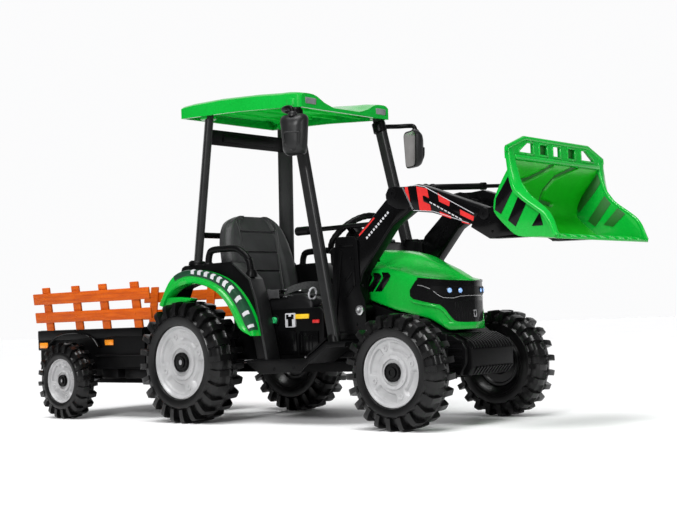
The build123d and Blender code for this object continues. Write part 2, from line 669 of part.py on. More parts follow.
FENCE_POSTS = (-1586.0, -1417.0, -1268.0, -1101.0)
FENCE_RAILS = ((332.0, 369.0), (396.0, 435.0))
FENCE_TOP, FENCE_X = 455.0, (-1653.0, -1020.0)
FENCE_PLANE = Plane(origin=(0, TUB_HALF + 8, 307.5), x_dir=(1, 0, 0), z_dir=(0, 0.993, -0.118))


with BuildPart() as side_fences:
    with BuildSketch(FENCE_PLANE) as posts:
        for x in FENCE_POSTS:
            with Locations((x, (306 - FENCE_TOP) / 2)):
                Rectangle(29, FENCE_TOP - 306)
    extrude(posts.sketch, amount=9)
    with BuildSketch(FENCE_PLANE.offset(9)) as rails:
        for low, high in FENCE_RAILS:
            with Locations((sum(FENCE_X) / 2, 306 - (low + high) / 2)):
                Rectangle(FENCE_X[1] - FENCE_X[0], high - low)
    extrude(rails.sketch, amount=8)
    mirror(about=Plane.XZ)
save(side_fences.part, "side_fences")
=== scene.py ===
import bpy
import bmesh
import math
from mathutils import Matrix, Vector


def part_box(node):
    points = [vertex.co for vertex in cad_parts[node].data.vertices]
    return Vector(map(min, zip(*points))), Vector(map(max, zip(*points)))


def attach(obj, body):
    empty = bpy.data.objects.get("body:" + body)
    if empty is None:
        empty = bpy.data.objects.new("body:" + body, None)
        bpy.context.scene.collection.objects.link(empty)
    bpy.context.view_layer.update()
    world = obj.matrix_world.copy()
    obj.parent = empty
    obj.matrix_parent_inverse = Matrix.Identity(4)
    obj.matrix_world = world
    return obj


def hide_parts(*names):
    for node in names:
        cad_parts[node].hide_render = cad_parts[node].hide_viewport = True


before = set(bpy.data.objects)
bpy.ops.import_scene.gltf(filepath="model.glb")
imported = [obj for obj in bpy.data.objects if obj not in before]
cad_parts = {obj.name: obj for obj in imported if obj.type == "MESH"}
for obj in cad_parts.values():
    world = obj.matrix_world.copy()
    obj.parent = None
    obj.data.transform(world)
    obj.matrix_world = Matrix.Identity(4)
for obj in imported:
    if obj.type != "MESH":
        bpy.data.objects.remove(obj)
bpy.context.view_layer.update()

# Ride-on toy tractor with a front loader, a canopy and a trailer. Shapes are drawn in millimetres from the
# ground below the front axle: X forward, Y to the left, Z up. piece() moves them to the frame's metres.
MM = 0.001
AXLE_X = sum(corner.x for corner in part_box("front_tyre_left")) / 2   # front axle, the drawing datum


# ---- camera, floor and light -------------------------------------------------------------------------
CAMERA_PLACE = (2.1156, -2.9038, 0.3109)          # metres from the front axle's ground point
CAMERA_YAW, CAMERA_PITCH, CAMERA_ROLL = 0.7181, 0.0514, -0.0370
CAMERA_LENS = 66.38
SURROUND_COLOUR, BACKDROP_COLOUR = (0.13, 0.13, 0.133, 1), (0.97, 0.97, 0.975, 1)
AREA_LIGHTS = (  # name, place and target in metres, size in metres, power in watts
    ("key", (1.7, -4.0, 2.6), (0, 0, 0.4), 1.2, 130),
    ("front", (4.2, -0.2, 1.7), (0.2, 0, 0.45), 1.1, 30))
SUN_STRENGTH, SUN_SPREAD, SUN_DIRECTION = 2.9, 35, (-0.1, 0.3, -1.0)
BACKDROP_SPAN = (0.45, 0.86)   # cosine of the angle off the camera's heading where the backdrop fades
FLOOR_HALF = 30


def make_camera():
    """Main camera, at the front right of the tractor."""
    data = bpy.data.cameras.new("camera")
    camera = bpy.data.objects.new("camera", data)
    bpy.context.scene.collection.objects.link(camera)
    yaw, pitch, roll = CAMERA_YAW, CAMERA_PITCH, CAMERA_ROLL
    forward = Vector((-math.sin(yaw) * math.cos(pitch), math.cos(yaw) * math.cos(pitch), math.sin(pitch)))
    right = Vector((math.cos(yaw), math.sin(yaw), 0))
    up = right.cross(forward)
    cam_right = math.cos(roll) * right + math.sin(roll) * up
    cam_up = -math.sin(roll) * right + math.cos(roll) * up
    turn = Matrix((cam_right, cam_up, -forward)).transposed().to_4x4()
    place = Vector((AXLE_X, 0, 0)) + Vector(CAMERA_PLACE)
    camera.matrix_world = Matrix.Translation(place) @ turn
    data.sensor_width = 36
    data.lens = CAMERA_LENS
    bpy.context.scene.camera = camera


def area_light(name, place, target, size, power):
    """Round soft lamp aimed at a point."""
    data = bpy.data.lights.new(name, "AREA")
    data.shape = "DISK"
    data.size = size
    data.energy = power
    light = bpy.data.objects.new(name, data)
    bpy.context.scene.collection.objects.link(light)
    light.location = place
    aim = Vector(target) - Vector(place)
    light.rotation_euler = aim.to_track_quat("-Z", "Y").to_euler()


def make_studio():
    """Bright backdrop behind the toy, dim surroundings elsewhere, soft lamps and a pale floor."""
    world = bpy.data.worlds.new("studio")
    bpy.context.scene.world = world
    world.use_nodes = True
    tree = world.node_tree
    background = tree.nodes["Background"]
    place = tree.nodes.new("ShaderNodeTexCoord")
    facing = tree.nodes.new("ShaderNodeVectorMath")
    facing.operation = "DOT_PRODUCT"
    facing.inputs[1].default_value = (-math.sin(CAMERA_YAW), math.cos(CAMERA_YAW), 0)
    ramp = tree.nodes.new("ShaderNodeValToRGB")
    stops = zip(ramp.color_ramp.elements, BACKDROP_SPAN, (SURROUND_COLOUR, BACKDROP_COLOUR))
    for stop, position, colour in stops:
        stop.position = position
        stop.color = colour
    tree.links.new(place.outputs["Generated"], facing.inputs[0])
    tree.links.new(facing.outputs["Value"], ramp.inputs["Fac"])
    tree.links.new(ramp.outputs["Color"], background.inputs["Color"])
    bpy.context.scene.view_settings.view_transform = "Standard"
    for lamp in AREA_LIGHTS:
        area_light(*lamp)
    sun = bpy.data.lights.new("overhead", "SUN")
    sun.energy = SUN_STRENGTH
    sun.angle = math.radians(SUN_SPREAD)
    overhead = bpy.data.objects.new("overhead", sun)
    bpy.context.scene.collection.objects.link(overhead)
    overhead.rotation_euler = Vector(SUN_DIRECTION).to_track_quat("-Z", "Y").to_euler()
    mesh = bpy.data.meshes.new("floor")
    corners = [(x * FLOOR_HALF, y * FLOOR_HALF, 0) for x, y in ((-1, -1), (1, -1), (1, 1), (-1, 1))]
    mesh.from_pydata(corners, [], [(0, 1, 2, 3)])
    floor = bpy.data.objects.new("floor", mesh)
    bpy.context.scene.collection.objects.link(floor)
    floor.data.materials.append(floor_finish())


# ---- materials ---------------------------------------------------------------------------------------
class Finish:
    """A Principled material whose colour, roughness and bump come from procedural noise."""

    def __init__(self, name, roughness=0.5, metallic=0.0, coat=0.0, specular=0.5):
        self.material = bpy.data.materials.new(name)
        self.material.use_nodes = True
        self.tree = self.material.node_tree
        self.shader = self.tree.nodes["Principled BSDF"]
        self.shader.inputs["Roughness"].default_value = roughness
        self.shader.inputs["Metallic"].default_value = metallic
        self.shader.inputs["Coat Weight"].default_value = coat
        self.shader.inputs["Coat Roughness"].default_value = 0.08
        self.shader.inputs["Specular IOR Level"].default_value = specular
        self.place = self.tree.nodes.new("ShaderNodeTexCoord").outputs["Object"]

    def node(self, kind, **inputs):
        """Adds a node and sets its inputs by name."""
        made = self.tree.nodes.new(kind)
        for key, value in inputs.items():
            made.inputs[key.replace("_", " ")].default_value = value
        return made

    def link(self, source, target):
        self.tree.links.new(source, target)

    def noise(self, scale, detail=4.0, stretch=(1, 1, 1)):
        """Noise factor in object space, stretched along an axis if wanted."""
        mapping = self.node("ShaderNodeMapping", Scale=stretch)
        self.link(self.place, mapping.inputs["Vector"])
        noise = self.node("ShaderNodeTexNoise", Scale=scale, Detail=detail)
        self.link(mapping.outputs["Vector"], noise.inputs["Vector"])
        return noise.outputs["Fac"]

    def ramp(self, factor, low, high, start=0.3, end=0.7):
        """Colour between low and high."""
        ramp = self.tree.nodes.new("ShaderNodeValToRGB")
        ramp.color_ramp.elements[0].position = start
        ramp.color_ramp.elements[1].position = end
        ramp.color_ramp.elements[0].color = (*low, 1)
        ramp.color_ramp.elements[1].color = (*high, 1)
        self.link(factor, ramp.inputs["Fac"])
        return ramp.outputs["Color"]

    def spread(self, factor, low, high):
        """Number between low and high."""
        span = self.node("ShaderNodeMapRange", To_Min=low, To_Max=high)
        self.link(factor, span.inputs["Value"])
        return span.outputs["Result"]

    def colour(self, low, high, scale, **how):
        """Mottles the base colour."""
        mix = self.ramp(self.noise(scale, **how), low, high)
        self.link(mix, self.shader.inputs["Base Color"])
        return self

    def rough(self, low, high, scale):
        """Varies the roughness."""
        self.link(self.spread(self.noise(scale), low, high), self.shader.inputs["Roughness"])
        return self

    def bump(self, height, strength, distance):
        """Adds a bump on top of any earlier one."""
        bump = self.node("ShaderNodeBump", Strength=strength, Distance=distance)
        self.link(height, bump.inputs["Height"])
        previous = self.shader.inputs["Normal"].links
        if previous:
            self.link(previous[0].from_socket, bump.inputs["Normal"])
        self.link(bump.outputs["Normal"], self.shader.inputs["Normal"])
        return self


def moulded(name, low, high, scale, rough, rough_scale=60, grain=None, pattern=None, grain_pattern=None,
            **shader):
    """Material with a mottled colour, uneven gloss and a fine grain of (scale, strength, depth)."""
    finish = Finish(name, **shader)
    finish.colour(low, high, scale, **(pattern or {})).rough(*rough, rough_scale)
    if grain:
        grain_scale, strength, distance = grain
        finish.bump(finish.noise(grain_scale, **(grain_pattern or {})), strength, distance)
    return finish.material


def black_plastic(name, low, high, rough, grain, specular=0.1):
    """Black parts share one fine grain of varying strength."""
    return moulded(name, low, high, 14, rough, grain=(900, grain, 0.0005), grain_pattern={"detail": 3.0},
                   specular=specular)


def plain_finish(name, low, high, rough=(0.35, 0.5), metallic=0.0):
    """Decals and small coloured parts."""
    return moulded(name, low, high, 30, rough, 70, (400, 0.08, 0.0004), metallic=metallic)


def floor_finish():
    """Pale studio floor."""
    finish = Finish("studio_floor", roughness=0.6, specular=0.2)
    finish.colour((0.90, 0.90, 0.905), (0.93, 0.93, 0.935), 1.5)
    return finish.material


def seat_finish():
    """Charcoal plastic with a leather-like grain of small cells."""
    finish = Finish("seat_grain_plastic", specular=0.3)
    finish.colour((0.034, 0.034, 0.035), (0.05, 0.05, 0.052), 20).rough(0.32, 0.44, 60)
    cells = finish.node("ShaderNodeTexVoronoi", Scale=700.0)
    finish.link(finish.place, cells.inputs["Vector"])
    finish.bump(cells.outputs["Distance"], 0.35, 0.0006)
    return finish.material


def webbing_finish():
    """Grey webbing with crossed ribs."""
    finish = Finish("woven_webbing", roughness=0.8, specular=0.2)
    finish.colour((0.022, 0.023, 0.023), (0.055, 0.056, 0.056), 300)
    for direction in ("X", "Y"):
        wave = finish.node("ShaderNodeTexWave", Scale=260.0, Distortion=0.6)
        wave.bands_direction = direction
        finish.link(finish.place, wave.inputs["Vector"])
        finish.bump(wave.outputs["Fac"], 0.5, 0.0006)
    return finish.material


def lamp_finish():
    """Bluish lens with a faint glow of its own."""
    finish = Finish("led_lens", roughness=0.08, coat=0.6)
    finish.colour((0.06, 0.2, 0.6), (0.5, 0.7, 1.0), 160)
    finish.shader.inputs["Emission Color"].default_value = (0.25, 0.5, 1.0, 1)
    finish.shader.inputs["Emission Strength"].default_value = 0.35
    return finish.material


GREEN = moulded("green_gloss_plastic", (0.0005, 0.33, 0.026), (0.002, 0.385, 0.036), 7, (0.22, 0.32), 40,
                (420, 0.04, 0.0006), {"detail": 3.0}, coat=0.3, specular=0.2)
# Matt green for the canopy's underside, lighter than the canopy's own green as painted light shining through
# the roof.
MATT_GREEN_PAINTED_LIGHT = moulded("matt_green_underside_painted_light", (0.002, 0.50, 0.035), (0.004, 0.60, 0.05), 9, (0.75, 0.9), 40,
                     (260, 0.1, 0.0006), specular=0.05)
BLACK = black_plastic("black_moulded_plastic", (0.0015, 0.0015, 0.0016), (0.0035, 0.0035, 0.0038),
                      (0.3, 0.42), 0.12)
GLOSS_BLACK = black_plastic("gloss_black_plastic", (0.001, 0.001, 0.0011), (0.0025, 0.0025, 0.0028),
                            (0.12, 0.2), 0.03, 0.18)
METAL_BLACK = black_plastic("black_powder_coat", (0.0015, 0.0015, 0.0017), (0.0035, 0.0035, 0.0038),
                            (0.26, 0.38), 0.1)
POST_BLACK = black_plastic("post_black", (0.009, 0.0092, 0.0095), (0.015, 0.0153, 0.0158), (0.3, 0.42), 0.1,
                           0.25)
RUBBER = moulded("tyre_rubber", (0.0018, 0.0018, 0.0019), (0.0045, 0.0044, 0.0045), 26, (0.24, 0.36), 50,
                 (500, 0.12, 0.0005), specular=0.3)
WHITE = moulded("white_rim_plastic", (0.33, 0.33, 0.335), (0.43, 0.43, 0.435), 18, (0.28, 0.42), 60,
                (300, 0.05, 0.0005), coat=0.15)
ORANGE = moulded("orange_grained_boards", (0.46, 0.065, 0.0006), (0.62, 0.11, 0.001), 22, (0.45, 0.6), 50,
                 (60, 0.5, 0.0012), {"stretch": (0.6, 6, 6)}, {"stretch": (0.35, 8, 8)}, specular=0.2)
STEEL = moulded("brushed_steel", (0.42, 0.42, 0.43), (0.6, 0.6, 0.61), 60, (0.22, 0.4), 80,
                (300, 0.1, 0.0003), {"stretch": (1, 14, 14)}, {"stretch": (1, 12, 12)}, metallic=1.0)
SEAT = seat_finish()
# Grey of the belt buckle, also a painted highlight along the seat back's seam beads.
BUCKLE_GREY_AND_SEAM_HIGHLIGHT = moulded("grey_buckle_and_painted_seam_highlight", (0.035, 0.035, 0.036), (0.06, 0.06, 0.062), 30, (0.3, 0.42),
                    specular=0.4)
# Seat plastic darkened as painted shade, for the cushion and the ribs behind the back.
SEAT_PAINTED_SHADE = moulded("seat_plastic_painted_shade", (0.0025, 0.0025, 0.0027), (0.005, 0.005, 0.0055), 20, (0.4, 0.5), 60,
                     (380, 0.2, 0.0006), specular=0.2)
WEBBING = webbing_finish()
LENS = lamp_finish()
GREY = plain_finish("grey_plastic", (0.14, 0.15, 0.155), (0.22, 0.23, 0.235))
LIGHT_GREY = plain_finish("light_grey_decal", (0.42, 0.42, 0.44), (0.55, 0.55, 0.57))
RED = plain_finish("red_decal", (0.50, 0.010, 0.010), (0.62, 0.018, 0.016))
YELLOW = plain_finish("yellow_decal", (0.75, 0.45, 0.01), (0.85, 0.55, 0.02))
MIRROR_GLASS = plain_finish("mirror_glass", (0.62, 0.6, 0.58), (0.72, 0.7, 0.68), (0.05, 0.1), 1.0)
AMBER = plain_finish("amber_reflector", (0.85, 0.22, 0.01), (0.95, 0.34, 0.02), (0.12, 0.2))
DARK_GREEN = plain_finish("dark_green_plastic", (0.002, 0.03, 0.012), (0.004, 0.05, 0.02))
BUTTON_GREEN = plain_finish("green_button_plastic", (0.01, 0.33, 0.10), (0.02, 0.42, 0.13))
BUCKET_GREEN = plain_finish("bucket_green_plastic", (0.001, 0.33, 0.003), (0.002, 0.39, 0.005), (0.3, 0.42))
# Dark green for the faint stripes inside the bucket, and painted shade in its groove strips and blind slot
# backs.
STRIPE_AND_SHADE_GREEN = plain_finish("dark_green_stripes_and_painted_shade", (0.001, 0.09, 0.003), (0.002, 0.12, 0.005), (0.5, 0.65))


# ---- mesh helpers, all in millimetres from the drawing datum -----------------------------------------
AHEAD, LEFT, RIGHT, UP = (1, 0, 0), (0, 1, 0), (0, -1, 0), (0, 0, 1)
WELD_DISTANCE = 1e-6   # metres
SHARP_MARGIN = 4       # degrees
BOX_FACES = [(0, 1, 2, 3), (7, 6, 5, 4), (0, 4, 5, 1), (1, 5, 6, 2), (2, 6, 7, 3), (3, 7, 4, 0)]


def prism(outline, y_from, y_to):
    """Side-view outline (X, Z) with thickness along Y."""
    count = len(outline)
    verts = [(x, y_from, z) for x, z in outline] + [(x, y_to, z) for x, z in outline]
    faces = [tuple(range(count)), tuple(range(2 * count - 1, count - 1, -1))]
    faces += [(i, i + count, (i + 1) % count + count, (i + 1) % count) for i in range(count)]
    return verts, faces


def block(x, y, z):
    """Box between two values on each axis."""
    return prism([(x[0], z[0]), (x[1], z[0]), (x[1], z[1]), (x[0], z[1])], y[0], y[1])


def join(*meshes):
    """One mesh out of several."""
    verts, faces = [], []
    for more_verts, more_faces in meshes:
        faces += [tuple(i + len(verts) for i in face) for face in more_faces]
        verts += list(more_verts)
    return verts, faces


def flip(mesh):
    """Mirror image across the centre plane."""
    verts, faces = mesh
    return [(x, -y, z) for x, y, z in verts], [tuple(reversed(face)) for face in faces]


def both(mesh):
    """The mesh and its mirror image."""
    return join(mesh, flip(mesh))


def stepped(outline, dx, dz, count):
    """Copies of a side-view outline, each moved on by (dx, dz)."""
    return [[(x + k * dx, z + k * dz) for x, z in outline] for k in range(count)]


def grid(rows, closed=False, caps=False):
    """Skin through rows of equal length; closed joins the last column to the first."""
    width = len(rows[0])
    verts = [point for row in rows for point in row]
    faces = []
    last = width if closed else width - 1
    for i in range(len(rows) - 1):
        for j in range(last):
            k = (j + 1) % width
            faces.append((i * width + j, i * width + k, (i + 1) * width + k, (i + 1) * width + j))
    if caps:
        faces.append(tuple(reversed(range(width))))
        faces.append(tuple((len(rows) - 1) * width + j for j in range(width)))
    return verts, faces


def frame_of(direction):
    """Unit vectors along a direction and across it."""
    axis = Vector(direction).normalized()
    helper = Vector(UP) if abs(axis.z) < 0.9 else Vector(LEFT)
    side = helper.cross(axis).normalized()
    return axis, side, axis.cross(side)


def circle(steps):
    """Angles of evenly spaced points round a circle."""
    return [2 * math.pi * k / steps for k in range(steps)]


def turned(centre, direction, profile, steps=48):
    """Solid of revolution: profile of (distance along the axis, radius), ends closed."""
    axis, side, up = frame_of(direction)
    rows = []
    for distance, radius in profile:
        middle = Vector(centre) + axis * distance
        rows.append([tuple(middle + radius * (math.cos(a) * side + math.sin(a) * up)) for a in circle(steps)])
    return grid(rows, closed=True, caps=True)


def bar(start, end, radius, steps, chamfer):
    """Round bar between two points with chamfered ends."""
    run = Vector(end) - Vector(start)
    tip, length = radius - chamfer, run.length
    return turned(start, run, [(0, tip), (chamfer, radius), (length - chamfer, radius), (length, tip)], steps)


def smooth_path(points, samples=10):
    """Catmull-Rom points through a short list of corners."""
    path = []
    points = [Vector(p) for p in points]
    ends = [2 * points[0] - points[1]] + points + [2 * points[-1] - points[-2]]
    for i in range(1, len(ends) - 2):
        a, b, c, d = ends[i - 1:i + 3]
        for k in range(samples):
            t = k / samples
            path.append(0.5 * ((2 * b) + (c - a) * t + (2 * a - 5 * b + 4 * c - d) * t * t
                               + (3 * b - a - 3 * c + d) * t ** 3))
    path.append(points[-1])
    return path


def tube(points, radius, steps=20, ripple=0.0, flat=1.0):
    """Round or flattened tube along points; ripple alternates its radius like a ribbed grip."""
    rows = []
    count = len(points)
    for i, point in enumerate(points):
        ahead = Vector(points[min(i + 1, count - 1)]) - Vector(points[max(i - 1, 0)])
        _, side, up = frame_of(ahead)
        size = radius - (ripple if i % 2 else 0.0)
        rows.append([tuple(Vector(point) + size * (math.cos(a) * side + flat * math.sin(a) * up))
                     for a in circle(steps)])
    return grid(rows, closed=True, caps=True)


def piece(name, mesh, finish, body, stands_for=(), bevel=0.0, steps=2, angle=32, subdivide=0, thick=0.0):
    """Make the object, round its edges, set its material and put it on its body.

    stands_for names the CAD nodes it replaces. bevel and thick are in millimetres, and angle is the
    sharpest fold in degrees that is still shaded smooth or left without a bevel.
    """
    verts, faces = mesh
    made = bmesh.new()
    points = [made.verts.new((x * MM + AXLE_X, y * MM, z * MM)) for x, y, z in verts]
    for face in faces:
        corners = [points[i] for i in dict.fromkeys(face)]
        if len(corners) > 2:
            try:
                made.faces.new(corners)
            except ValueError:
                pass
    bmesh.ops.remove_doubles(made, verts=made.verts, dist=WELD_DISTANCE)
    bmesh.ops.recalc_face_normals(made, faces=made.faces)
    data = bpy.data.meshes.new(name)
    made.to_mesh(data)
    made.free()
    obj = bpy.data.objects.new(name, data)
    bpy.context.scene.collection.objects.link(obj)
    if thick:
        shell = obj.modifiers.new("thickness", "SOLIDIFY")
        shell.thickness = thick * MM
        shell.offset = -1
        shell.use_even_offset = True
    if bevel:
        rounding = obj.modifiers.new("rounding", "BEVEL")
        rounding.width = bevel * MM
        rounding.segments = steps
        rounding.limit_method = "ANGLE"
        rounding.angle_limit = math.radians(angle)
    if subdivide:
        surface = obj.modifiers.new("surface", "SUBSURF")
        surface.levels = surface.render_levels = subdivide
    if obj.modifiers:
        bpy.context.view_layer.update()
        ready = obj.evaluated_get(bpy.context.evaluated_depsgraph_get())
        final = bpy.data.meshes.new_from_object(ready)
        obj.modifiers.clear()
        obj.data = final
        bpy.data.meshes.remove(data)
    obj.data.polygons.foreach_set("use_smooth", [True] * len(obj.data.polygons))
    obj.data.set_sharp_from_angle(angle=math.radians(angle + SHARP_MARGIN))
    obj.data.materials.clear()
    obj.data.materials.append(finish)
    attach(obj, body)
    if stands_for:
        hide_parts(*([stands_for] if isinstance(stands_for, str) else stands_for))
    return obj


def refinish(finish, *nodes):
    """Give a kept CAD node its procedural material."""
    for node in nodes:
        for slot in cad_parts[node].material_slots:
            slot.material = finish


# ---- wheels ------------------------------------------------------------------------------------------
# Stations round one tyre lug, as shares of its pitch. The left row's lug takes up the first half of the
# pitch and the right row's the second half. Each lug's first and last stations stay at the valley's depth.
LUG_PHASES = (0.04, 0.062, 0.2, 0.33, 0.428, 0.45, 0.54, 0.562, 0.7, 0.83, 0.928, 0.95)
LUG_ENDS = {1: (0.04, 0.45), -1: (0.54, 0.95)}
LUG_SKEW = 0.10
SIDEWALL = ((0.80, 0.0), (0.90, 0.03), (0.95, 0.16), (0.94, 0.36), (0.90, 0.40))   # shares of width and wall
WHEELS = (("front", 22, 11), ("rear", 24, 12), ("trailer", 20, 8))   # axle, lugs, lug depth
CENTRE_STRIP = (0.07, 0.0, -0.07)
STRIP_DEPTHS = (3.5, 1.5)
RIM_STEPS, RIM_TURN, HOLLOW_DEPTH = 144, 0.35, 9
DISC_BORE = 21.0


def tyre(x, y, radius, width, rim_radius, lugs, depth, side):
    """Two rows of staggered paddle lugs from the sidewall to a fine centre strip."""
    half = width / 2
    wall = radius - rim_radius
    sidewall = [(away * half, rim_radius + rise * wall) * 2 for away, rise in SIDEWALL]
    crown = sidewall + [  # (distance from the middle, lug radius, valley distance, valley radius)
        (1.00 * half, rim_radius + 0.43 * wall, 0.80 * half, rim_radius + 0.45 * wall),
        (0.98 * half, rim_radius + 0.70 * wall, 0.76 * half, rim_radius + 0.62 * wall),
        (0.94 * half, radius - 0.12 * wall, 0.70 * half, radius - depth - 0.12 * wall),
        (0.86 * half, radius - 0.03 * wall, 0.60 * half, radius - depth - 0.04 * wall),
        (0.62 * half, radius - 0.005 * wall, 0.46 * half, radius - depth),
        (0.30 * half, radius, 0.26 * half, radius - depth + 1),
        (0.16 * half, radius, 0.16 * half, radius - depth + 3)]
    rows = []
    pitch = 2 * math.pi / lugs
    skew = LUG_SKEW * pitch
    for lug in range(lugs):
        for index, phase in enumerate(LUG_PHASES):
            ring = []
            for hand in (1, -1):
                points = []
                first, last = LUG_ENDS[hand]
                for away, lug_r, valley, valley_r in crown:
                    reach, size = (away, lug_r) if first < phase < last else (valley, valley_r)
                    angle = (lug + phase) * pitch + skew * (1 - away / half) * hand
                    points.append((x + size * math.cos(angle), y + hand * reach,
                                   radius + size * math.sin(angle)))
                ring += points if hand == 1 else list(reversed(points))
                if hand == 1:
                    tooth = radius - STRIP_DEPTHS[index % 2]
                    for strip in CENTRE_STRIP:
                        angle = (lug + phase) * pitch
                        ring.append((x + tooth * math.cos(angle), y + strip * half,
                                     radius + tooth * math.sin(angle)))
            rows.append(ring)
    rows.append(rows[0])
    mesh = grid(rows, closed=True)
    return mesh if side > 0 else flip(mesh)


def smoothstep(low, high, value):
    """0 below low, 1 above high and a smooth rise between them."""
    t = min(1.0, max(0.0, (value - low) / (high - low)))
    return t * t * (3 - 2 * t)


def rim(x, y, radius, rim_radius, half_width, side):
    """Dished wheel face with four kidney hollows, bolt pads and a raised centre ring."""
    r = rim_radius
    profile = [
        (r, -0.4 * half_width), (r, half_width - 2), (0.985 * r, half_width), (0.945 * r, half_width),
        (0.925 * r, half_width - 3), (0.90 * r, half_width - 8), (0.87 * r, half_width - 9),
        (0.85 * r, half_width - 9.5), (0.82 * r, half_width - 10), (0.76 * r, half_width - 10.5),
        (0.70 * r, half_width - 11), (0.65 * r, half_width - 11.5), (0.62 * r, half_width - 12),
        (0.59 * r, half_width - 12.5), (0.54 * r, half_width - 13), (0.50 * r, half_width - 13),
        (0.48 * r, half_width - 8), (0.45 * r, half_width - 7), (0.38 * r, half_width - 7),
        (0.36 * r, half_width - 11), (0.30 * r, half_width - 12), (0.12 * r, half_width - 12),
        (0.12 * r, -0.3 * half_width), (0.62 * r, -0.3 * half_width), (0.86 * r, -0.4 * half_width),
    ]
    rows = []
    for size, depth in profile:
        row = []
        for angle in circle(RIM_STEPS):
            share = size / r
            swing = abs(((angle - RIM_TURN) % (math.pi / 2)) - math.pi / 4)
            hollow = smoothstep(0.57, 0.66, share) * (1 - smoothstep(0.80, 0.86, share)) if depth > 0 else 0
            hollow *= 1 - smoothstep(0.44, 0.56, swing)
            row.append((x + size * math.cos(angle), y + depth - HOLLOW_DEPTH * hollow,
                        radius + size * math.sin(angle)))
        rows.append(row)
    rows.append(rows[0])
    body = grid(rows, closed=True)
    extras = []
    for k in range(4):
        angle = RIM_TURN + k * math.pi / 2
        cx, cz = x + 0.72 * r * math.cos(angle), radius + 0.72 * r * math.sin(angle)
        extras.append(turned((cx, y + half_width - 12, cz), LEFT,
                             [(0, 0.085 * r), (3.6, 0.08 * r), (3.6, 0.045 * r), (1.5, 0.04 * r)], 24))
    for k in range(8):
        angle = k * math.pi / 4 + 0.2
        cx, cz = x + 0.41 * r * math.cos(angle), radius + 0.41 * r * math.sin(angle)
        extras.append(turned((cx, y + half_width - 9, cz), LEFT, [(0, 0.03 * r), (3.2, 0.026 * r)], 12))
    mesh = join(body, *extras)
    return mesh if side > 0 else flip(mesh)


def hub_cap(x, y, radius, size, half_width, side):
    """Black stepped cap over the axle end with small tabs."""
    base = half_width - 12
    cap = turned((x, y + base, radius), LEFT,
                 [(0, size), (8, size), (10, size - 1), (10, size - 4), (8, size - 5), (8, 0.62 * size),
                  (12, 0.58 * size), (12, 0.3 * size), (9, 0.26 * size), (9, 1)], 48)
    ticks = []
    for k in range(12):
        angle = k * math.pi / 6
        cx, cz = x + 0.8 * size * math.cos(angle), radius + 0.8 * size * math.sin(angle)
        ticks.append(turned((cx, y + base + 6, cz), LEFT, [(0, 1.8), (3.4, 1.5)], 8))
    mesh = join(cap, *ticks)
    return mesh if side > 0 else flip(mesh)


def inner_disc(x, y, radius, rim_radius, half_tyre, half_rim, side):
    """Black back of the wheel: a stepped disc with two rings and a hub ring."""
    r = rim_radius
    base = 0.42 * half_rim
    reach = 0.84 * half_tyre - base
    profile = [(-2, DISC_BORE), (6, DISC_BORE), (6, 0.32 * r), (2, 0.36 * r), (2, 0.60 * r), (7, 0.64 * r),
               (7, 0.70 * r), (3, 0.74 * r), (0.6 * reach, 0.90 * r), (reach, 0.95 * r),
               (reach + 2, 1.03 * r), (reach - 3, 1.05 * r), (-2, 0.95 * r)]
    mesh = turned((x, y - base, radius), RIGHT, profile, 96)
    return mesh if side > 0 else flip(mesh)


def make_wheels():
    """Tyre, rim, hub cap and back disc of the six wheels, each built from its CAD box."""
    for place, lugs, depth in WHEELS:
        for side_name, side in (("left", 1), ("right", -1)):
            low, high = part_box(f"{place}_tyre_left")
            radius = (high.z - low.z) / 2 / MM
            width = (high.y - low.y) / MM
            x = ((low.x + high.x) / 2 - AXLE_X) / MM
            y = (high.y + low.y) / 2 / MM
            rim_low, rim_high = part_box(f"{place}_rim_left")
            rim_radius = (rim_high.z - rim_low.z) / 2 / MM
            half_rim = (rim_high.y - rim_low.y) / 2 / MM
            body = f"{place}_wheel_{side_name}"
            piece(f"{body}_tread", tyre(x, y, radius, width, rim_radius, lugs, depth, side), RUBBER, body,
                  f"{place}_tyre_{side_name}", angle=30)
            piece(f"{body}_face", rim(x, y, radius, rim_radius, half_rim, side), WHITE, body,
                  f"{place}_rim_{side_name}", angle=28)
            piece(f"{body}_hub_cap", hub_cap(x, y, radius, 0.27 * rim_radius, half_rim, side), GLOSS_BLACK,
                  body, angle=40)
            piece(f"{body}_back", inner_disc(x, y, radius, rim_radius, width / 2, half_rim, side), RUBBER,
                  body, angle=40)


# ---- hood, grille, lamps -----------------------------------------------------------------------------
HOOD_HALF = 124.0
NOSE_TIP = 79.0
SPINE_END = 66.0
SPINE_HALF, SPINE_FLARE = 22, 44      # half width of the raised spine at the nose, and its gain to the cab
LIP_TUCK, EDGE_TUCK = 5, 3.0          # how far the lower lip and the upper edge turn inward
SHOULDER_HOLLOW = 7
NOSE_TURN, NOSE_TURN_POWER, NOSE_ROUNDING = (-40, 62), 1.6, 180
SIDE_SHARES = (0.0, 0.04, 0.08, 0.3, 0.55, 0.8, 0.93, 1.0)
TOP_SHARES = (0.12, 0.3, 0.48, 0.64, 0.74, 0.80, 0.86, 0.94, 1.0)
VENT_STEP, VENT_COUNT = -33, 3
LAMP_SIZE = 7.5
BUMPER_RIB_HALF = 4.4
NOSE_PLAN = [(-226, HOOD_HALF), (-150, HOOD_HALF), (-90, HOOD_HALF), (-40, HOOD_HALF - 0.5), (-10, 119),
             (18, 110), (38, 98), (51, 82), (60, 63), (68, 43), (75, 21), (NOSE_TIP, 0)]
TOP_EDGE = [(-226, 452), (-150, 446), (-90, 436), (-40, 421), (0, 414), (30, 410), (55, 406), (NOSE_TIP, 402)]
TOP_LINE = [(-226, 508), (-141, 500), (-80, 485), (-31, 462), (20, 440), (55, 420), (NOSE_TIP, 403)]
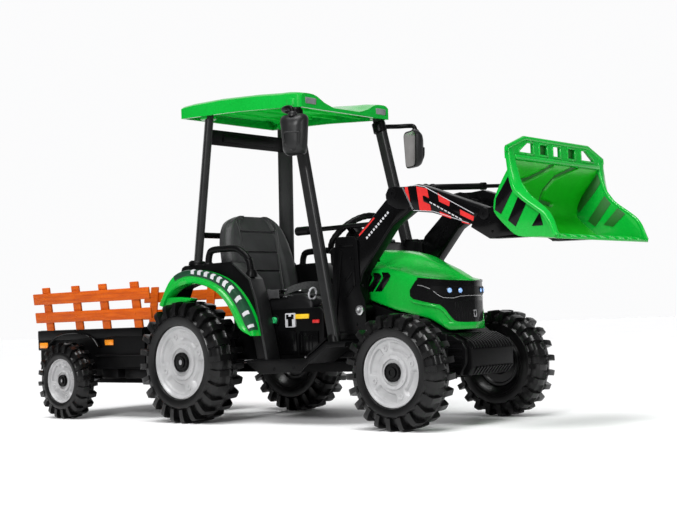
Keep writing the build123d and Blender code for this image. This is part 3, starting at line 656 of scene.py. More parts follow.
NOSE_WIDTHS = sorted((x, y) for x, y in NOSE_PLAN)
NOSE_REACH = sorted((y, x) for x, y in NOSE_PLAN)
LOW_EDGE = [(-226, 372), (-203, 358), (-150, 340), (-102, 324), (-40, 310), (6, 298), (34, 280), (50, 264),
            (60, 263), (NOSE_TIP, 265)]
GRILLE_TOP = [(-58, 372), (-26, 412), (0, 409), (30, 405), (55, 401), (NOSE_TIP, 397)]
GRILLE_LOW = [(-58, 370), (-40, 356), (6, 344), (34, 337), (44, 326), (58, 292), (64, 286), (NOSE_TIP, 286)]


def look_up(table, x):
    """Height at x along a polyline of (x, height) points."""
    for (x0, z0), (x1, z1) in zip(table, table[1:]):
        if x <= x1:
            return z0 + (z1 - z0) * max(0.0, (x - x0) / (x1 - x0))
    return table[-1][1]


def plan_points(per_step=4):
    """Points of the hood plan from the rear left corner round the nose to the rear right."""
    left = smooth_path([(x, y, 0) for x, y in NOSE_PLAN], per_step)
    return [(p.x, p.y) for p in left] + [(p.x, -p.y) for p in reversed(left[:-1])]


def hood_normal(x, y):
    """Outward direction of the hood plan, turning from sideways to straight ahead."""
    ahead = smoothstep(*NOSE_TURN, x) ** NOSE_TURN_POWER
    return Vector((ahead, (1 - ahead) * math.copysign(1, y) + ahead * y / NOSE_ROUNDING, 0)).normalized()


def nose_band(top, low, out, x_from, rows=8):
    """Band of the hood side between two height tables, moved outward by out."""
    plan = [p for p in plan_points() if p[0] >= x_from]
    skin = []
    for x, y in plan:
        normal = hood_normal(x, y)
        upper, lower = look_up(top, x), look_up(low, x)
        row = []
        for k in range(rows + 1):
            share = k / rows
            row.append((x + normal.x * out, y + normal.y * out, lower + (upper - lower) * share))
        skin.append(row)
    return grid(skin)


def hood_top(x, y, edge):
    """Height of the hood's top: raised spine, then a hollow shoulder that falls to the side's edge."""
    crown = look_up(TOP_LINE, x)
    width = look_up(NOSE_WIDTHS, x) or 1
    away = abs(y) / max(width, 20)
    ridge = (SPINE_HALF + SPINE_FLARE * (1 - smoothstep(-200, 95, x))) / max(width, 60)
    beyond = smoothstep(ridge, 1.0, away)
    slope = smoothstep(ridge * 0.75, ridge * 1.25, away)
    rounding = 0.10 * (away / max(ridge, 0.1)) ** 2 * (1 - slope)
    lift = crown - (crown - edge) * (rounding + slope * (0.42 + 0.5 * beyond))
    hollow = SHOULDER_HOLLOW * math.sin(math.pi * beyond) * (1 - smoothstep(20, 90, x))
    return max(edge + 1, lift - hollow)


def make_hood():
    """Raised spine, hollow shoulders and a side that wraps round the nose."""
    skin = []
    for x, y in plan_points():
        edge, low = look_up(TOP_EDGE, x), look_up(LOW_EDGE, x)
        normal = hood_normal(x, y)
        row = []
        for share in SIDE_SHARES:
            inward = EDGE_TUCK * smoothstep(0.86, 1.0, share) + (LIP_TUCK if share == 0 else 0)
            row.append((x - normal.x * inward, y - normal.y * inward, low + (edge - low) * share))
        centre_x = min(x, SPINE_END)
        for share in TOP_SHARES:
            px = x + (centre_x - x) * share
            py = y * (1 - share)
            row.append((px, py, hood_top(px, py, edge)))
        skin.append(row)
    piece("hood_shell", grid(skin), GREEN, "chassis", "hood", thick=4, angle=40, subdivide=1)
    slat = [(-150, 436), (-128, 435), (-119, 425), (-126, 412), (-153, 382), (-178, 382), (-171, 392),
            (-146, 419)]
    vents = [prism(one, HOOD_HALF - 2, HOOD_HALF + 1.6) for one in stepped(slat, VENT_STEP, 0, VENT_COUNT)]
    piece("hood_side_vents", both(join(*vents)), GLOSS_BLACK, "chassis", bevel=0.8)
    rib = [(-139, 429), (-134, 427), (-165, 387), (-170, 387)]
    lines = [prism(one, HOOD_HALF + 1, HOOD_HALF + 2.6) for one in stepped(rib, VENT_STEP, 0, VENT_COUNT)]
    piece("hood_vent_ribs", both(join(*lines)), BLACK, "chassis", bevel=0.5)


def make_grille():
    """Glossy mask round the nose with silver trim, lamp pods and a plain badge."""
    piece("grille_mask", nose_band(GRILLE_TOP, GRILLE_LOW, 1.6, -58), GLOSS_BLACK, "chassis", "grille",
          thick=4, angle=40)
    brow_top = [(-58, 374), (-26, 416), (55, 405), (NOSE_TIP, 401)]
    brow_low = [(-58, 371), (-26, 410), (55, 399), (NOSE_TIP, 395)]
    piece("grille_brow", nose_band(brow_top, brow_low, 3.2, -30, rows=2), GLOSS_BLACK, "chassis", thick=4)
    line_top = [(-30, 396), (-8, 392), (14, 382), (32, 364), (42, 357), (58, 355), (66, 360), (NOSE_TIP, 361)]
    line_low = [(x, z - 1.6) for x, z in line_top]
    piece("grille_silver_line", nose_band(line_top, line_low, 2.6, -26, rows=1), STEEL, "chassis", thick=2)
    pod_top = [(4, 388), (30, 389), (55, 387), (NOSE_TIP, 386)]
    pod_low = [(4, 384), (30, 370), (44, 363), (58, 362), (NOSE_TIP, 366)]
    piece("lamp_pods", nose_band(pod_top, pod_low, 2.8, 6, rows=3), BLACK, "chassis", thick=3)
    ribs = []
    for y in range(-63, 64, 9):
        x = look_up(NOSE_REACH, abs(y))
        low = look_up(GRILLE_LOW, x) + 3
        outward = hood_normal(x, y)
        base = Vector((x, y, 0)) + outward * 0.6
        ribs.append(bar((base.x, base.y, low), (base.x, base.y, 346), 1.6, 8, 0.5))
    piece("grille_ribs", join(*ribs), BLACK, "chassis", angle=50)
    chin_low = [(36, 284), (50, 266), (NOSE_TIP, 267)]
    chin_top = [(36, 291), (58, 287), (NOSE_TIP, 285)]
    piece("chin_band", nose_band(chin_top, chin_low, 4.0, 38, rows=2), GREEN, "chassis", thick=6, bevel=0.8)
    ridge_low = [(-58, 358), (-40, 345), (6, 333), (32, 326), (42, 314), (56, 282), (NOSE_TIP, 277)]
    ridge_top = [(x, z + 7) for x, z in ridge_low]
    piece("mask_surround", nose_band(ridge_top, ridge_low, 3.0, -52, rows=2), GREEN, "chassis", thick=5,
          bevel=0.8)
    lenses, bezels = [], []
    for hand in (1, -1):
        for y, z in ((48, 375), (79, 376)):
            x = look_up(NOSE_REACH, y)
            outward = Vector((0.86, 0.42 * hand * y / 82, 0)).normalized()
            place = Vector((x, hand * y, z)) - outward * 3
            bezels.append(turned(place, outward, [(0, LAMP_SIZE + 3), (6.5, LAMP_SIZE + 3),
                                                  (8, LAMP_SIZE + 1.2), (5, LAMP_SIZE)], 28))
            lenses.append(turned(place, outward, [(0, LAMP_SIZE), (5.5, LAMP_SIZE), (8.5, 0.75 * LAMP_SIZE),
                                                  (10, 0.3 * LAMP_SIZE)], 28))
    piece("lamp_bezels", join(*bezels), GLOSS_BLACK, "chassis", angle=40)
    piece("lamp_lenses", join(*lenses), LENS, "chassis", "headlamps", angle=40)
    x_badge = NOSE_TIP + 1.5
    badge = join(*(block((x_badge, x_badge + 2.5), y, z) for y, z in (
        ((-7, -4.5), (301, 318)), ((4.5, 7), (301, 318)), ((-7, 7), (317, 320)), ((-7, 7), (300, 303)))))
    piece("plain_badge", badge, STEEL, "chassis", bevel=0.4)


def make_bumper():
    """Front weight block: corrugated brow, plain face and a row of vent ribs below."""
    nose = [(60, 138), (60, 250), (84, 250), (128, 226), (137, 214), (137, 162), (122, 140)]
    core = prism(nose, -102, 102)
    cheeks = both(prism([(60, 150), (60, 252), (82, 252), (118, 232), (128, 214), (126, 174), (104, 140)], 99,
                        117))
    piece("bumper_body", join(core, cheeks), BLACK, "chassis", "front_bumper", bevel=4, steps=3)
    brow = [(74, 251), (86, 250.5), (128, 228), (140, 214), (143, 216), (131, 233), (86, 256), (74, 256)]
    ribs = [prism(brow, y - BUMPER_RIB_HALF, y + BUMPER_RIB_HALF) for y in range(-92, 93, 14)]
    piece("bumper_brow_ribs", join(*ribs), BLACK, "chassis", bevel=1.4)
    vent = [(120, 143), (140, 165), (142, 161), (124, 141)]
    slots = [prism(vent, y - BUMPER_RIB_HALF, y + BUMPER_RIB_HALF) for y in range(-78, 93, 15)]
    piece("bumper_lower_ribs", join(*slots), METAL_BLACK, "chassis", bevel=1)
    rim_line = prism([(116, 236), (122, 238), (140, 217), (136, 213)], -104, -98)
    piece("bumper_side_brows", both(flip(rim_line)), METAL_BLACK, "chassis", bevel=1.5)
    fin = [(70, 238), (112, 238), (118, 230), (70, 230)]
    bars = [prism(one, 115.5, 119.5) for one in stepped(fin, 0, -22, 4)]
    piece("bumper_cheek_fins", both(join(*bars)), METAL_BLACK, "chassis", bevel=1.2)


# ---- canopy ------------------------------------------------------------------------------------------
ROOF_REAR, ROOF_FRONT, ROOF_HALF = -888.0, -366.0, 214.0
ROOF_CROWN = [(ROOF_REAR, 1006), (-880, 1008), (-830, 1010), (-702, 1008), (-545, 998), (-420, 986),
              (ROOF_FRONT, 974)]
ROOF_EDGE = [(ROOF_REAR, 970), (-640, 960), (-400, 941), (ROOF_FRONT, 938)]
ROOF_WALL, ROOF_SKIRT, ROOF_THICKNESS = 9, 10, 15


def roof_top(x, y):
    """Height of the canopy: a gentle crown, raised rails at the sides, horns at the front corners."""
    away = abs(y) / ROOF_HALF
    base = look_up(ROOF_CROWN, x)
    rail = 4 * smoothstep(0.62, 0.78, away) * (1 - smoothstep(0.9, 1.0, away))
    horn = 4 * smoothstep(-450, -372, x) * smoothstep(0.5, 0.8, away)
    sag = -17 * smoothstep(-800, -500, x) - 8 * smoothstep(-480, -372, x)
    dip = sag * (1 - smoothstep(0.35, 0.66, away))
    edge = -5 * smoothstep(0.95, 1.0, away) ** 2
    return min(1012, base) + rail + horn + dip + edge


def make_roof():
    """Moulded canopy: closed sections with a crowned top, side skirts, end walls and a recessed ceiling."""
    columns = [-1, -0.985, -0.95, -0.9, -0.82, -0.74, -0.66, -0.5, -0.3, -0.1]
    columns = columns + [-c for c in reversed(columns)]
    stations = [-888, -886, -880, -879, -860, -830, -770, -700, -620, -545, -490, -450, -420, -395, -380,
                -378, -370, -366]
    skin = []
    for x in stations:
        half = ROOF_HALF - 10 * smoothstep(-390, -366, x) - 3 * smoothstep(-886, -888, x)
        low = look_up(ROOF_EDGE, x)
        open_below = ROOF_REAR + ROOF_WALL <= x + 0.5 and x - 0.5 <= ROOF_FRONT - 14
        top = [(x, c * half, roof_top(x, c * ROOF_HALF)) for c in columns]
        inside = half - ROOF_SKIRT
        ceiling = [(x, c * inside, max(low + 3, z - ROOF_THICKNESS) if open_below else low)
                   for c, (_, _, z) in zip(columns, top)]
        skin.append([*top, (x, half, low), (x, inside, low), *reversed(ceiling), (x, -inside, low),
                     (x, -half, low)])
    piece("canopy_skin", grid(skin, closed=True, caps=True), GREEN, "chassis", "roof", angle=30)
    # The lining and the under ribs take the canopy green lightened as painted light.
    lining = [[(x, c * (ROOF_HALF - ROOF_SKIRT - 11),
                max(look_up(ROOF_EDGE, x) + 2.4, roof_top(x, c * ROOF_HALF) - ROOF_THICKNESS - 0.6))
               for c in columns] for x in stations if -879 < x < -380]
    piece("canopy_lining", grid(lining), MATT_GREEN_PAINTED_LIGHT, "chassis", thick=1.2, angle=40)
    ribs = []
    for x in (-800, -690, -580, -470):
        z = roof_top(x, 0) - ROOF_THICKNESS
        ribs.append(block((x, x + 9), (-190, 190), (z - 7, z + 3)))
    piece("canopy_under_ribs", join(*ribs), MATT_GREEN_PAINTED_LIGHT, "chassis", bevel=1.5)
    sockets = []
    for x, y, z in ((-800, 176, 958), (-404, 194, 944)):
        sockets.append(turned((x, y, z), UP, [(0, 22), (3, 25), (20, 25), (24, 21)], 32))
    piece("canopy_post_sockets", both(join(*sockets)), GREEN, "chassis", angle=40)
    lamp = prism([(-371, 952), (-364, 950), (-362, 968), (-371, 972)], 142, 188)
    piece("canopy_front_lamps", both(lamp), GREY, "chassis", bevel=2)


# ---- posts and mirrors -------------------------------------------------------------------------------
def post_mesh(start, end, radii, twist):
    """Straight tube with a squared-off oval section, turned by twist degrees about its length."""
    start, end = Vector(start), Vector(end)
    axis = (end - start).normalized()
    flat = Vector((math.cos(math.radians(twist)), math.sin(math.radians(twist)), 0))
    side = (flat - axis * flat.dot(axis)).normalized()
    across = axis.cross(side)
    skin = []
    for share in (0, 0.03, 0.5, 0.97, 1.0):
        skin.append([tuple(start + (end - start) * share + (
            radii[0] * power(math.cos(a)) * side + radii[1] * power(math.sin(a)) * across))
            for a in circle(40)])
    return grid(skin, closed=True, caps=True)


def power(value, exponent=0.62):
    """Superellipse helper: keeps the sign and squares off a circle."""
    return math.copysign(abs(value) ** exponent, value)


def make_posts():
    """Canopy posts with their shoes, and the cross pieces between the rear pair."""
    rear = post_mesh((-837, 206, 498), (-796, 174, 972), (25, 13.5), 39)
    front = post_mesh((-252, 222, 240), (-405, 196, 957), (18, 14), 0)
    piece("rear_post_pair", both(rear), POST_BLACK, "chassis", "rear_posts", angle=40)
    piece("front_post_pair", both(front), POST_BLACK, "chassis", "front_posts", angle=40)
    shoes = join(turned((-837, 206, 492), (0.08, -0.06, 1), [(0, 31), (10, 30), (16, 24)], 32),
                 turned((-252, 222, 234), (-0.21, -0.04, 1), [(0, 20), (22, 19.5), (30, 16)], 32))
    piece("post_shoes", both(shoes), BLACK, "chassis", angle=40)
    panel = [prism([(-806, 880), (-798, 928), (-791, 928), (-799, 880)], -170, 170),
             prism([(-807, 892), (-806, 916), (-788, 916), (-790, 892)], -120, 120)]
    piece("rear_upper_panel", join(*panel), BLACK, "chassis", "rear_crossbars", bevel=2)
    piece("rear_lower_tube", tube([(-829, -186, 590), (-829, 0, 590), (-829, 186, 590)], 9.5, 28), BLACK,
          "chassis")


def turn_about(mesh, centre, degrees):
    """Swing a mesh about a vertical line."""
    verts, faces = mesh
    c, s = math.cos(math.radians(degrees)), math.sin(math.radians(degrees))
    return [(centre[0] + c * (x - centre[0]) - s * (y - centre[1]),
             centre[1] + s * (x - centre[0]) + c * (y - centre[1]), z) for x, y, z in verts], faces


def scaled_ring(x, middle, half, corner, steps=8):
    """Closed rounded-rectangle row in the Y-Z plane at x."""
    row = []
    for cy, cz, turn in ((1, 1, 0), (-1, 1, 1), (-1, -1, 2), (1, -1, 3)):
        for k in range(steps + 1):
            a = math.pi / 2 * (turn + k / steps)
            row.append((x, middle[0] + cy * (half[0] - corner) + corner * math.cos(a),
                        middle[1] + cz * (half[1] - corner) + corner * math.sin(a)))
    return row


MIRROR_ROD, MIRROR_TURN = (-326.0, 288.0), 67.0


def make_mirrors():
    """Domed shells wider at the foot, turned in to the driver, with a reflecting plate inside a rim."""
    centre = (288, 844)

    def ring(x, half, corner):
        """Rounded outline at x, wider at the top than at the foot."""
        return [(px, centre[0] + (py - centre[0]) * (1.08 + 0.0022 * (pz - centre[1])), pz)
                for px, py, pz in scaled_ring(x, centre, half, corner)]

    shell = grid([ring(-343, (31, 55), 14), ring(-346, (35, 60), 17), ring(-342, (36, 60), 17),
                  ring(-330, (35, 58.5), 17), ring(-318, (30, 52), 18), ring(-309, (20, 40), 14),
                  ring(-307, (9, 24), 6)], closed=True, caps=True)
    pocket = smooth_path([Vector(p) for p in ((-309, 264, 846), (-309, 288, 848), (-309, 312, 846),
                                              (-310, 308, 818), (-315, 288, 796), (-310, 268, 818),
                                              (-309, 264, 846))], 8)
    dimple = tube(pocket, 3.0, 14)
    plate = grid([ring(-347.2, (31, 55), 14), ring(-344, (31, 55), 14)], closed=True, caps=True)
    socket = turned((-326, 288, 896), UP, [(0, 14), (10, 13), (14, 9)], 28)
    for name, hand in (("left", 1), ("right", -1)):
        body = f"mirror_{name}"
        for part, mesh, finish, stands in (
                ("shell", join(shell, socket, dimple), POST_BLACK, body), ("glass", plate, MIRROR_GLASS, ())):
            mesh = turn_about(mesh, MIRROR_ROD, MIRROR_TURN)
            piece(f"mirror_{part}_{name}", mesh if hand > 0 else flip(mesh), finish, body, stands, angle=36)
    arm = smooth_path([(-392, 200, 918), (-388, 240, 922), (-378, 270, 924), (-354, 285, 924),
                       (-334, 288, 921), (-326, 288, 912), (-326, 288, 898)], 8)
    piece("mirror_arm_tubes", both(tube(arm, 7.5, 20)), BLACK, "chassis", "mirror_arms")
    clamp = both(turned((-394, 196, 898), (-0.209, -0.036, 1), [(0, 17), (3, 22), (33, 22), (36, 17)], 32))
    piece("mirror_arm_clamps", clamp, BLACK, "chassis", angle=40)


# ---- fenders and grab handles ------------------------------------------------------------------------
def arch(centre, radius, start, end, count=28):
    """(X, Z) points on an arc, angles in degrees from +X."""
    return [(centre[0] + radius * math.cos(math.radians(a)), centre[1] + radius * math.sin(math.radians(a)))
            for a in (start + (end - start) * k / (count - 1) for k in range(count))]


TRIM_OUTER = [(-952, 370), (-935, 408), (-902, 450), (-862, 472), (-815, 478), (-755, 471), (-695, 455),
              (-642, 430), (-596, 389), (-562, 343), (-542, 302), (-532, 266)]
TRIM_INNER = [(-930, 366), (-912, 394), (-880, 418), (-845, 430), (-800, 435), (-750, 428), (-700, 410),
              (-658, 382), (-628, 348), (-606, 312), (-584, 284), (-540, 267)]


TRIM_SECTION = ((0, 232), (0, 262), (0.05, 270), (0.30, 273), (0.62, 272), (0.70, 277), (0.90, 277), (1, 273),
                (1, 240), (0.55, 236))   # (share of the way from outer to inner edge, y)
TRIM_MARKS = (17, 19, 21, 23, 25, 27, 29, 32, 36, 40)


def sweep_back(mesh):
    """Set the inner side of a mudguard leg further back than its outer side."""
    return [(x - 20 * (240 - y) / 76 * smoothstep(-700, -600, x), y, z) for x, y, z in mesh[0]], mesh[1]


def decal_row(top, low, lift):
    """Points across one station of the printed band, which wraps over the outer edge of the trim."""
    across = low - top
    out = across.normalized() * -lift
    edge = [(top.x + out.x, 247, top.z + out.z), (top.x + out.x, 262, top.z + out.z)]
    return edge + [(top.x + across.x * share, y + lift, top.z + across.z * share)
                   for share, y in ((0.05, 270.2), (0.30, 273.2), (0.46, 272.8))]


def make_fenders():
    """Black mudguard boxes with a bevelled front leg and the bright arch trims over the wheels."""
    shell = [(-938, 378), (-905, 440), (-885, 488), (-872, 494), (-660, 496), (-646, 491), (-571, 437),
             (-548, 373), (-517, 229), (-508, 186)]
    inner = arch((-822, 172), 264, -8, 128)
    outline = shell + [(-556, 186)] + [p for p in inner if p[1] > 190 and p[0] < -560]
    guard = prism(outline, 163, 234)
    leg = prism([(-648, 488), (-646, 493), (-570, 439), (-546, 374), (-515, 229), (-506, 186), (-516, 186),
                 (-556, 372), (-578, 434)], 164, 240)
    piece("mudguard_boxes", both(sweep_back(guard)), BLACK, "chassis", "fenders", bevel=4, steps=3)
    piece("mudguard_leg_edges", both(sweep_back(leg)), POST_BLACK, "chassis", bevel=3.5, steps=3)
    rows = []
    outer = smooth_path([(x, 0, z) for x, z in TRIM_OUTER], 4)
    under = smooth_path([(x, 0, z) for x, z in TRIM_INNER], 4)
    for top, low in zip(outer, under):
        across = low - top
        rows.append([(top.x + across.x * share, y, top.z + across.z * share) for share, y in TRIM_SECTION])
    piece("mudguard_trims", both(grid(rows, closed=True, caps=True)), GREEN, "chassis", "fender_trims",
          angle=38)
    stations = list(zip(outer, under))
    band = grid([decal_row(top, low, 0.8) for top, low in stations[10:43]])
    piece("trim_decal_band", both(band), DARK_GREEN, "chassis", thick=0.8)
    marks = [grid([decal_row(top, low, 1.6)[1:4] for top, low in stations[first:first + 2]])
             for first in TRIM_MARKS]
    piece("trim_decal_marks", both(join(*marks)), LIGHT_GREY, "chassis", thick=0.5)
    lobe = prism([(-960, 371), (-940, 366), (-812, 379), (-806, 388), (-850, 394), (-925, 396), (-948, 392)],
                 236, 270)
    piece("trim_rear_lobes", both(lobe), GREEN, "chassis", bevel=4, steps=3)
    grip = smooth_path([(-776, 218, 492), (-771, 218, 520), (-756, 218, 536), (-700, 218, 538),
                        (-650, 218, 536), (-624, 218, 524), (-596, 218, 500), (-586, 218, 456)], 12)
    piece("grab_handle_tubes", both(tube(grip, 11, 24, ripple=0.7)), BLACK, "chassis", "grab_handles",
          angle=60)
    feet = join(turned((-776, 218, 488), UP, [(0, 18), (6, 17), (12, 12)], 28),
                turned((-586, 218, 446), (0.1, 0, 1), [(0, 19), (12, 17), (22, 12)], 28))
    piece("grab_handle_feet", both(feet), BLACK, "chassis", angle=50)


# ---- floor, console, cowl and driver's controls ------------------------------------------------------
def make_floor():
    """Floor pan with raised foot pods, side skirts, tread bars and edge screws."""
    tray = prism([(-600, 181), (-600, 191), (-348, 191), (-348, 181)], -238, 238)
    pods = both(prism([(-380, 181), (-345, 181), (-268, 228), (-200, 228), (-196, 243), (-272, 245),
                       (-352, 195), (-380, 193)], 122, 242))
    skirts = both(prism([(-598, 193), (-594, 182), (-540, 150), (-379, 158), (-336, 190), (-352, 197)], 231,
                        243))
    piece("floor_tray", join(tray, pods, skirts), BLACK, "chassis", "floor_pan", bevel=2.5, steps=2)
    treads = [both(block((x, x + 12), (176, 226), (190.5, 193.5))) for x in range(-588, -387, 25)]
    piece("floor_tread_bars", join(*treads), METAL_BLACK, "chassis", bevel=1)
    clips = both(join(*(turned((x, 241, z), LEFT, [(0, 6), (2.5, 5.5), (2.5, 2), (1, 1)], 20)
                        for x, z in ((-560, 172), (-480, 166), (-400, 170)))))
    piece("floor_edge_screws", clips, METAL_BLACK, "chassis", angle=40)


def make_console():
    """Seat box with moulded side recess, start button surround and small labels."""
    side = prism([(-733, 191), (-733, 341), (-720, 345), (-365, 345), (-352, 335), (-352, 191)], -158, 158)
    piece("console_box", side, BLACK, "chassis", "seat_console", bevel=4, steps=3)
    panels = both(join(prism([(-540, 205), (-540, 278), (-470, 278), (-462, 270), (-462, 205)], 156, 161.5),
                       prism([(-452, 262), (-446, 275), (-372, 275), (-372, 205), (-452, 205)], 156, 162.5)))
    piece("console_side_panels", panels, GLOSS_BLACK, "chassis", bevel=2)
    ridge = both(join(*(block((x, x + 4), (157, 164), (212, 262)) for x in (-440, -426, -412, -398))))
    piece("console_ridges", ridge, METAL_BLACK, "chassis", bevel=1)
    piece("yellow_label", block((-470, -408), (-161.4, -158), (312, 326)), YELLOW, "chassis", bevel=0.4)
    piece("red_latch", block((-392, -366), (-164, -158), (298, 308)), RED, "chassis", bevel=1.5)
    tube_ring = turned((-548, -158, 310), RIGHT, [(0, 17), (4, 17), (5, 15.5), (5, 11.5), (0, 11)], 40)
    piece("button_surround", tube_ring, BLACK, "chassis", angle=40)


def make_switches():
    """Start button, socket plate and gear lever with its gaiter."""
    cap = turned((-548, -150, 310), RIGHT, [(-3, 9.9), (16, 9.9), (18.5, 8), (17.5, 5), (17, 1)], 40)
    piece("start_button_cap", cap, BUTTON_GREEN, "power_button", "power_button", angle=40)
    plate = rounded_block_y((-503, -462), (287, 330), -158, -164, 4)
    piece("socket_plate", plate, LIGHT_GREY, "chassis", "switch_plate", bevel=0.8)
    openings = (((-498, -488), (312, 326)), ((-477, -467), (312, 326)), ((-491, -474), (290, 320)))
    holes = join(*(block(x, (-165, -163), z) for x, z in openings))
    piece("socket_openings", holes, GLOSS_BLACK, "chassis", bevel=0.6)
    knob = join(turned((-373, -126, 398), UP, [(0, 7), (6, 9), (16, 12), (26, 12), (33, 8), (35, 2)], 32),
                turned((-373, -126, 322), UP, [(0, 4.5), (78, 4.5)], 20),
                turned((-373, -112, 326), RIGHT, [(0, 4), (28, 4)], 20))
    piece("shift_knob", knob, BLACK, "shifter", "gear_lever", angle=40)
    gaiter = turned((-373, -126, 343), UP, [(0, 22), (3, 22), (5, 17), (8, 18), (10, 13), (13, 14), (15, 9)],
                    32)
    piece("shift_gaiter", gaiter, RUBBER, "chassis", angle=50)


def rounded_block_y(x, z, y_from, y_to, corner, steps=5):
    """Box with corners rounded in the side view."""
    outline = []
    for cx, cz, turn in ((x[1] - corner, z[1] - corner, 0), (x[0] + corner, z[1] - corner, 1),
                         (x[0] + corner, z[0] + corner, 2), (x[1] - corner, z[0] + corner, 3)):
        for k in range(steps + 1):
            a = math.pi / 2 * (turn + k / steps)
            outline.append((cx + corner * math.cos(a), cz + corner * math.sin(a)))
    return prism(outline, y_from, y_to)


def make_cowl():
    """Dash pedestal between the loader towers with a moulded binnacle."""
    outline = [(-345, 191), (-345, 470), (-338, 484), (-284, 531), (-268, 534), (-232, 507), (-226, 400),
               (-209, 352), (-104, 318), (3, 294), (52, 257), (66, 257), (66, 191)]
    piece("cowl_shell", prism(outline, -119, 119), BLACK, "chassis", "cowl", bevel=4, steps=3)
    panels = both(join(prism([(-330, 260), (-330, 440), (-300, 440), (-284, 300), (-240, 260)], 118, 123),
                       prism([(-150, 220), (-150, 300), (-30, 280), (20, 250), (20, 220)], 118, 122)))
    piece("cowl_side_panels", panels, METAL_BLACK, "chassis", bevel=2)
    hood = both(prism([(-345, 470), (-346, 515), (-320, 524), (-298, 540), (-268, 536), (-268, 480),
                       (-300, 440)], 100, 126))
    piece("cowl_shoulders", hood, BLACK, "chassis", bevel=4, steps=3)


STEER_TOP, STEER_RING_R = Vector((-350.4, 0.0, 560.7)), 86.0
STEER_AXIS = Vector((0.636, 0.0, -0.772)).normalized()
PEDAL_RIB_RISE = 7.1


def around_column(distance, radius, angle):
    """Point on a circle about the steering column, angle measured from the left."""
    side = Vector(LEFT)
    up = STEER_AXIS.cross(side)
    return STEER_TOP + STEER_AXIS * distance + radius * (math.cos(angle) * side + math.sin(angle) * up)


def make_steering():
    """Rim with thumb swells, three spokes, hub and horn pad."""
    rows = []
    for k in range(97):
        a = 2 * math.pi * k / 96
        thick = 10 - 0.9 * (0.5 + 0.5 * math.cos(28 * a))
        centre = around_column(0, STEER_RING_R, a)
        out = (centre - STEER_TOP).normalized()
        rows.append([tuple(centre + thick * (math.cos(b) * out + math.sin(b) * STEER_AXIS))
                     for b in circle(18)])
    piece("steering_rim", grid(rows, closed=True), BLACK, "steering", "steering_wheel", angle=60)
    spokes = []
    for spoke in range(3):
        a = -math.pi / 2 + spoke * 2 * math.pi / 3
        line = [around_column(2, 18, a), around_column(4, 48, a), around_column(1, 80, a)]
        spokes.append(tube(smooth_path(line, 5), 11, 18, flat=0.4))
    piece("steering_spokes", join(*spokes), BLACK, "steering", angle=50)
    hub = turned(STEER_TOP, STEER_AXIS, [(-11, 21), (-11, 27), (-8, 30), (8, 30), (14, 24), (52, 20)], 40)
    piece("steering_hub", hub, BLACK, "steering", angle=40)
    pad = turned(STEER_TOP, STEER_AXIS, [(-9, 19.5), (-14, 19.5), (-17, 15), (-18.5, 8), (-19, 1)], 40)
    piece("horn_pad", pad, DARK_GREEN, "horn", "horn_button", angle=40)
    up = STEER_AXIS.cross(Vector(LEFT))
    rows = []
    for lift, half_w, half_h in ((61, 110, 46), (57, 110, 46), (54, 105, 41)):
        base = STEER_TOP + STEER_AXIS * lift
        ring = scaled_ring(0, (0, 0), (half_w, half_h), 14)
        rows.append([tuple(base + y * Vector(LEFT) + z * up) for _, y, z in ring])
    piece("dash_plate", grid(rows, closed=True, caps=True), GREY, "chassis", "dash_panel", angle=36)
    keys = []
    for y, z in ((-88, 22), (-88, -4), (-62, 22), (88, 22), (62, 22), (88, -4)):
        base = STEER_TOP + STEER_AXIS * 54 + y * Vector(LEFT) + z * up
        keys.append(turned(base, -STEER_AXIS, [(-2, 9), (4, 8.5), (6, 6)], 24))
    piece("dash_keys", join(*keys), DARK_GREEN, "chassis", angle=40)


def make_pedal():
    """Accelerator pad with grip ribs on its pin."""
    pad = prism([(-377, 205), (-373, 199), (-297, 250), (-301, 256)], -212, -182)
    piece("pedal_pad", pad, BLACK, "pedal", "accelerator_pedal", bevel=2)
    bars = []
    for k in range(6):
        x = -360 + 11 * k
        z = 211 + PEDAL_RIB_RISE * k
        bars.append(prism([(x, z), (x + 5, z + 3.2), (x + 3.6, z + 5.4), (x - 1.4, z + 2.2)], -208, -186))
    piece("pedal_ribs", join(*bars), METAL_BLACK, "pedal", bevel=0.7)
    pin = turned((-376, -178, 199), RIGHT, [(0, 3), (38, 3)], 20)
    piece("pedal_pin", pin, STEEL, "pedal", angle=40)


# ---- seat --------------------------------------------------------------------------------------------
SEAM_LEVELS, SEAM_DEPTH, SEAM_REACH = (62, 126, 196), 4.5, 4.0
BEAD_OFFSET, BEAD_RADIUS = 4, 1.3
SEAT_SHARES = [k / 60 for k in range(-60, 61)]
CUSHION_SEAMS, CUSHION_HALF, CUSHION_BASE = (-640, -560, -480), 157, 343
BACK_HEIGHTS = sorted({-2, 4, 10, 20, 30, 40, 50, 80, 95, 110, 145, 160, 175, 188, 210, 220, 230, 238, 244,
                       248, 250} | {level + step for level in SEAM_LEVELS for step in range(-6, 7, 2)})
BACK_ORIGIN, BACK_NORMAL = Vector((-762, 0, 402)), Vector((0.967, 0, 0.255)).normalized()
BACK_UP = Vector((-0.255, 0, 0.967)).normalized()


def back_point(y, height, out):
    """Point on the seat back: across, up its face and out from its rear face."""
    return tuple(BACK_ORIGIN + BACK_UP * height + BACK_NORMAL * out + Vector((0, y, 0)))


def back_half(height):
    """Half width of the seat back at a height."""
    return look_up([(-2, 150), (40, 158), (90, 160), (165, 150), (205, 134), (228, 118), (242, 98),
                    (250, 74)], height)


def panel_half(height):
    """Half width of the sunk centre panel, narrower at the foot."""
    return 84 - 22 * (1 - smoothstep(0, 220, height))


def seam_at(distance):
    """Depth of a V-shaped seam at a distance from its middle."""
    return SEAM_DEPTH * max(0.0, 1 - abs(distance) / SEAM_REACH)


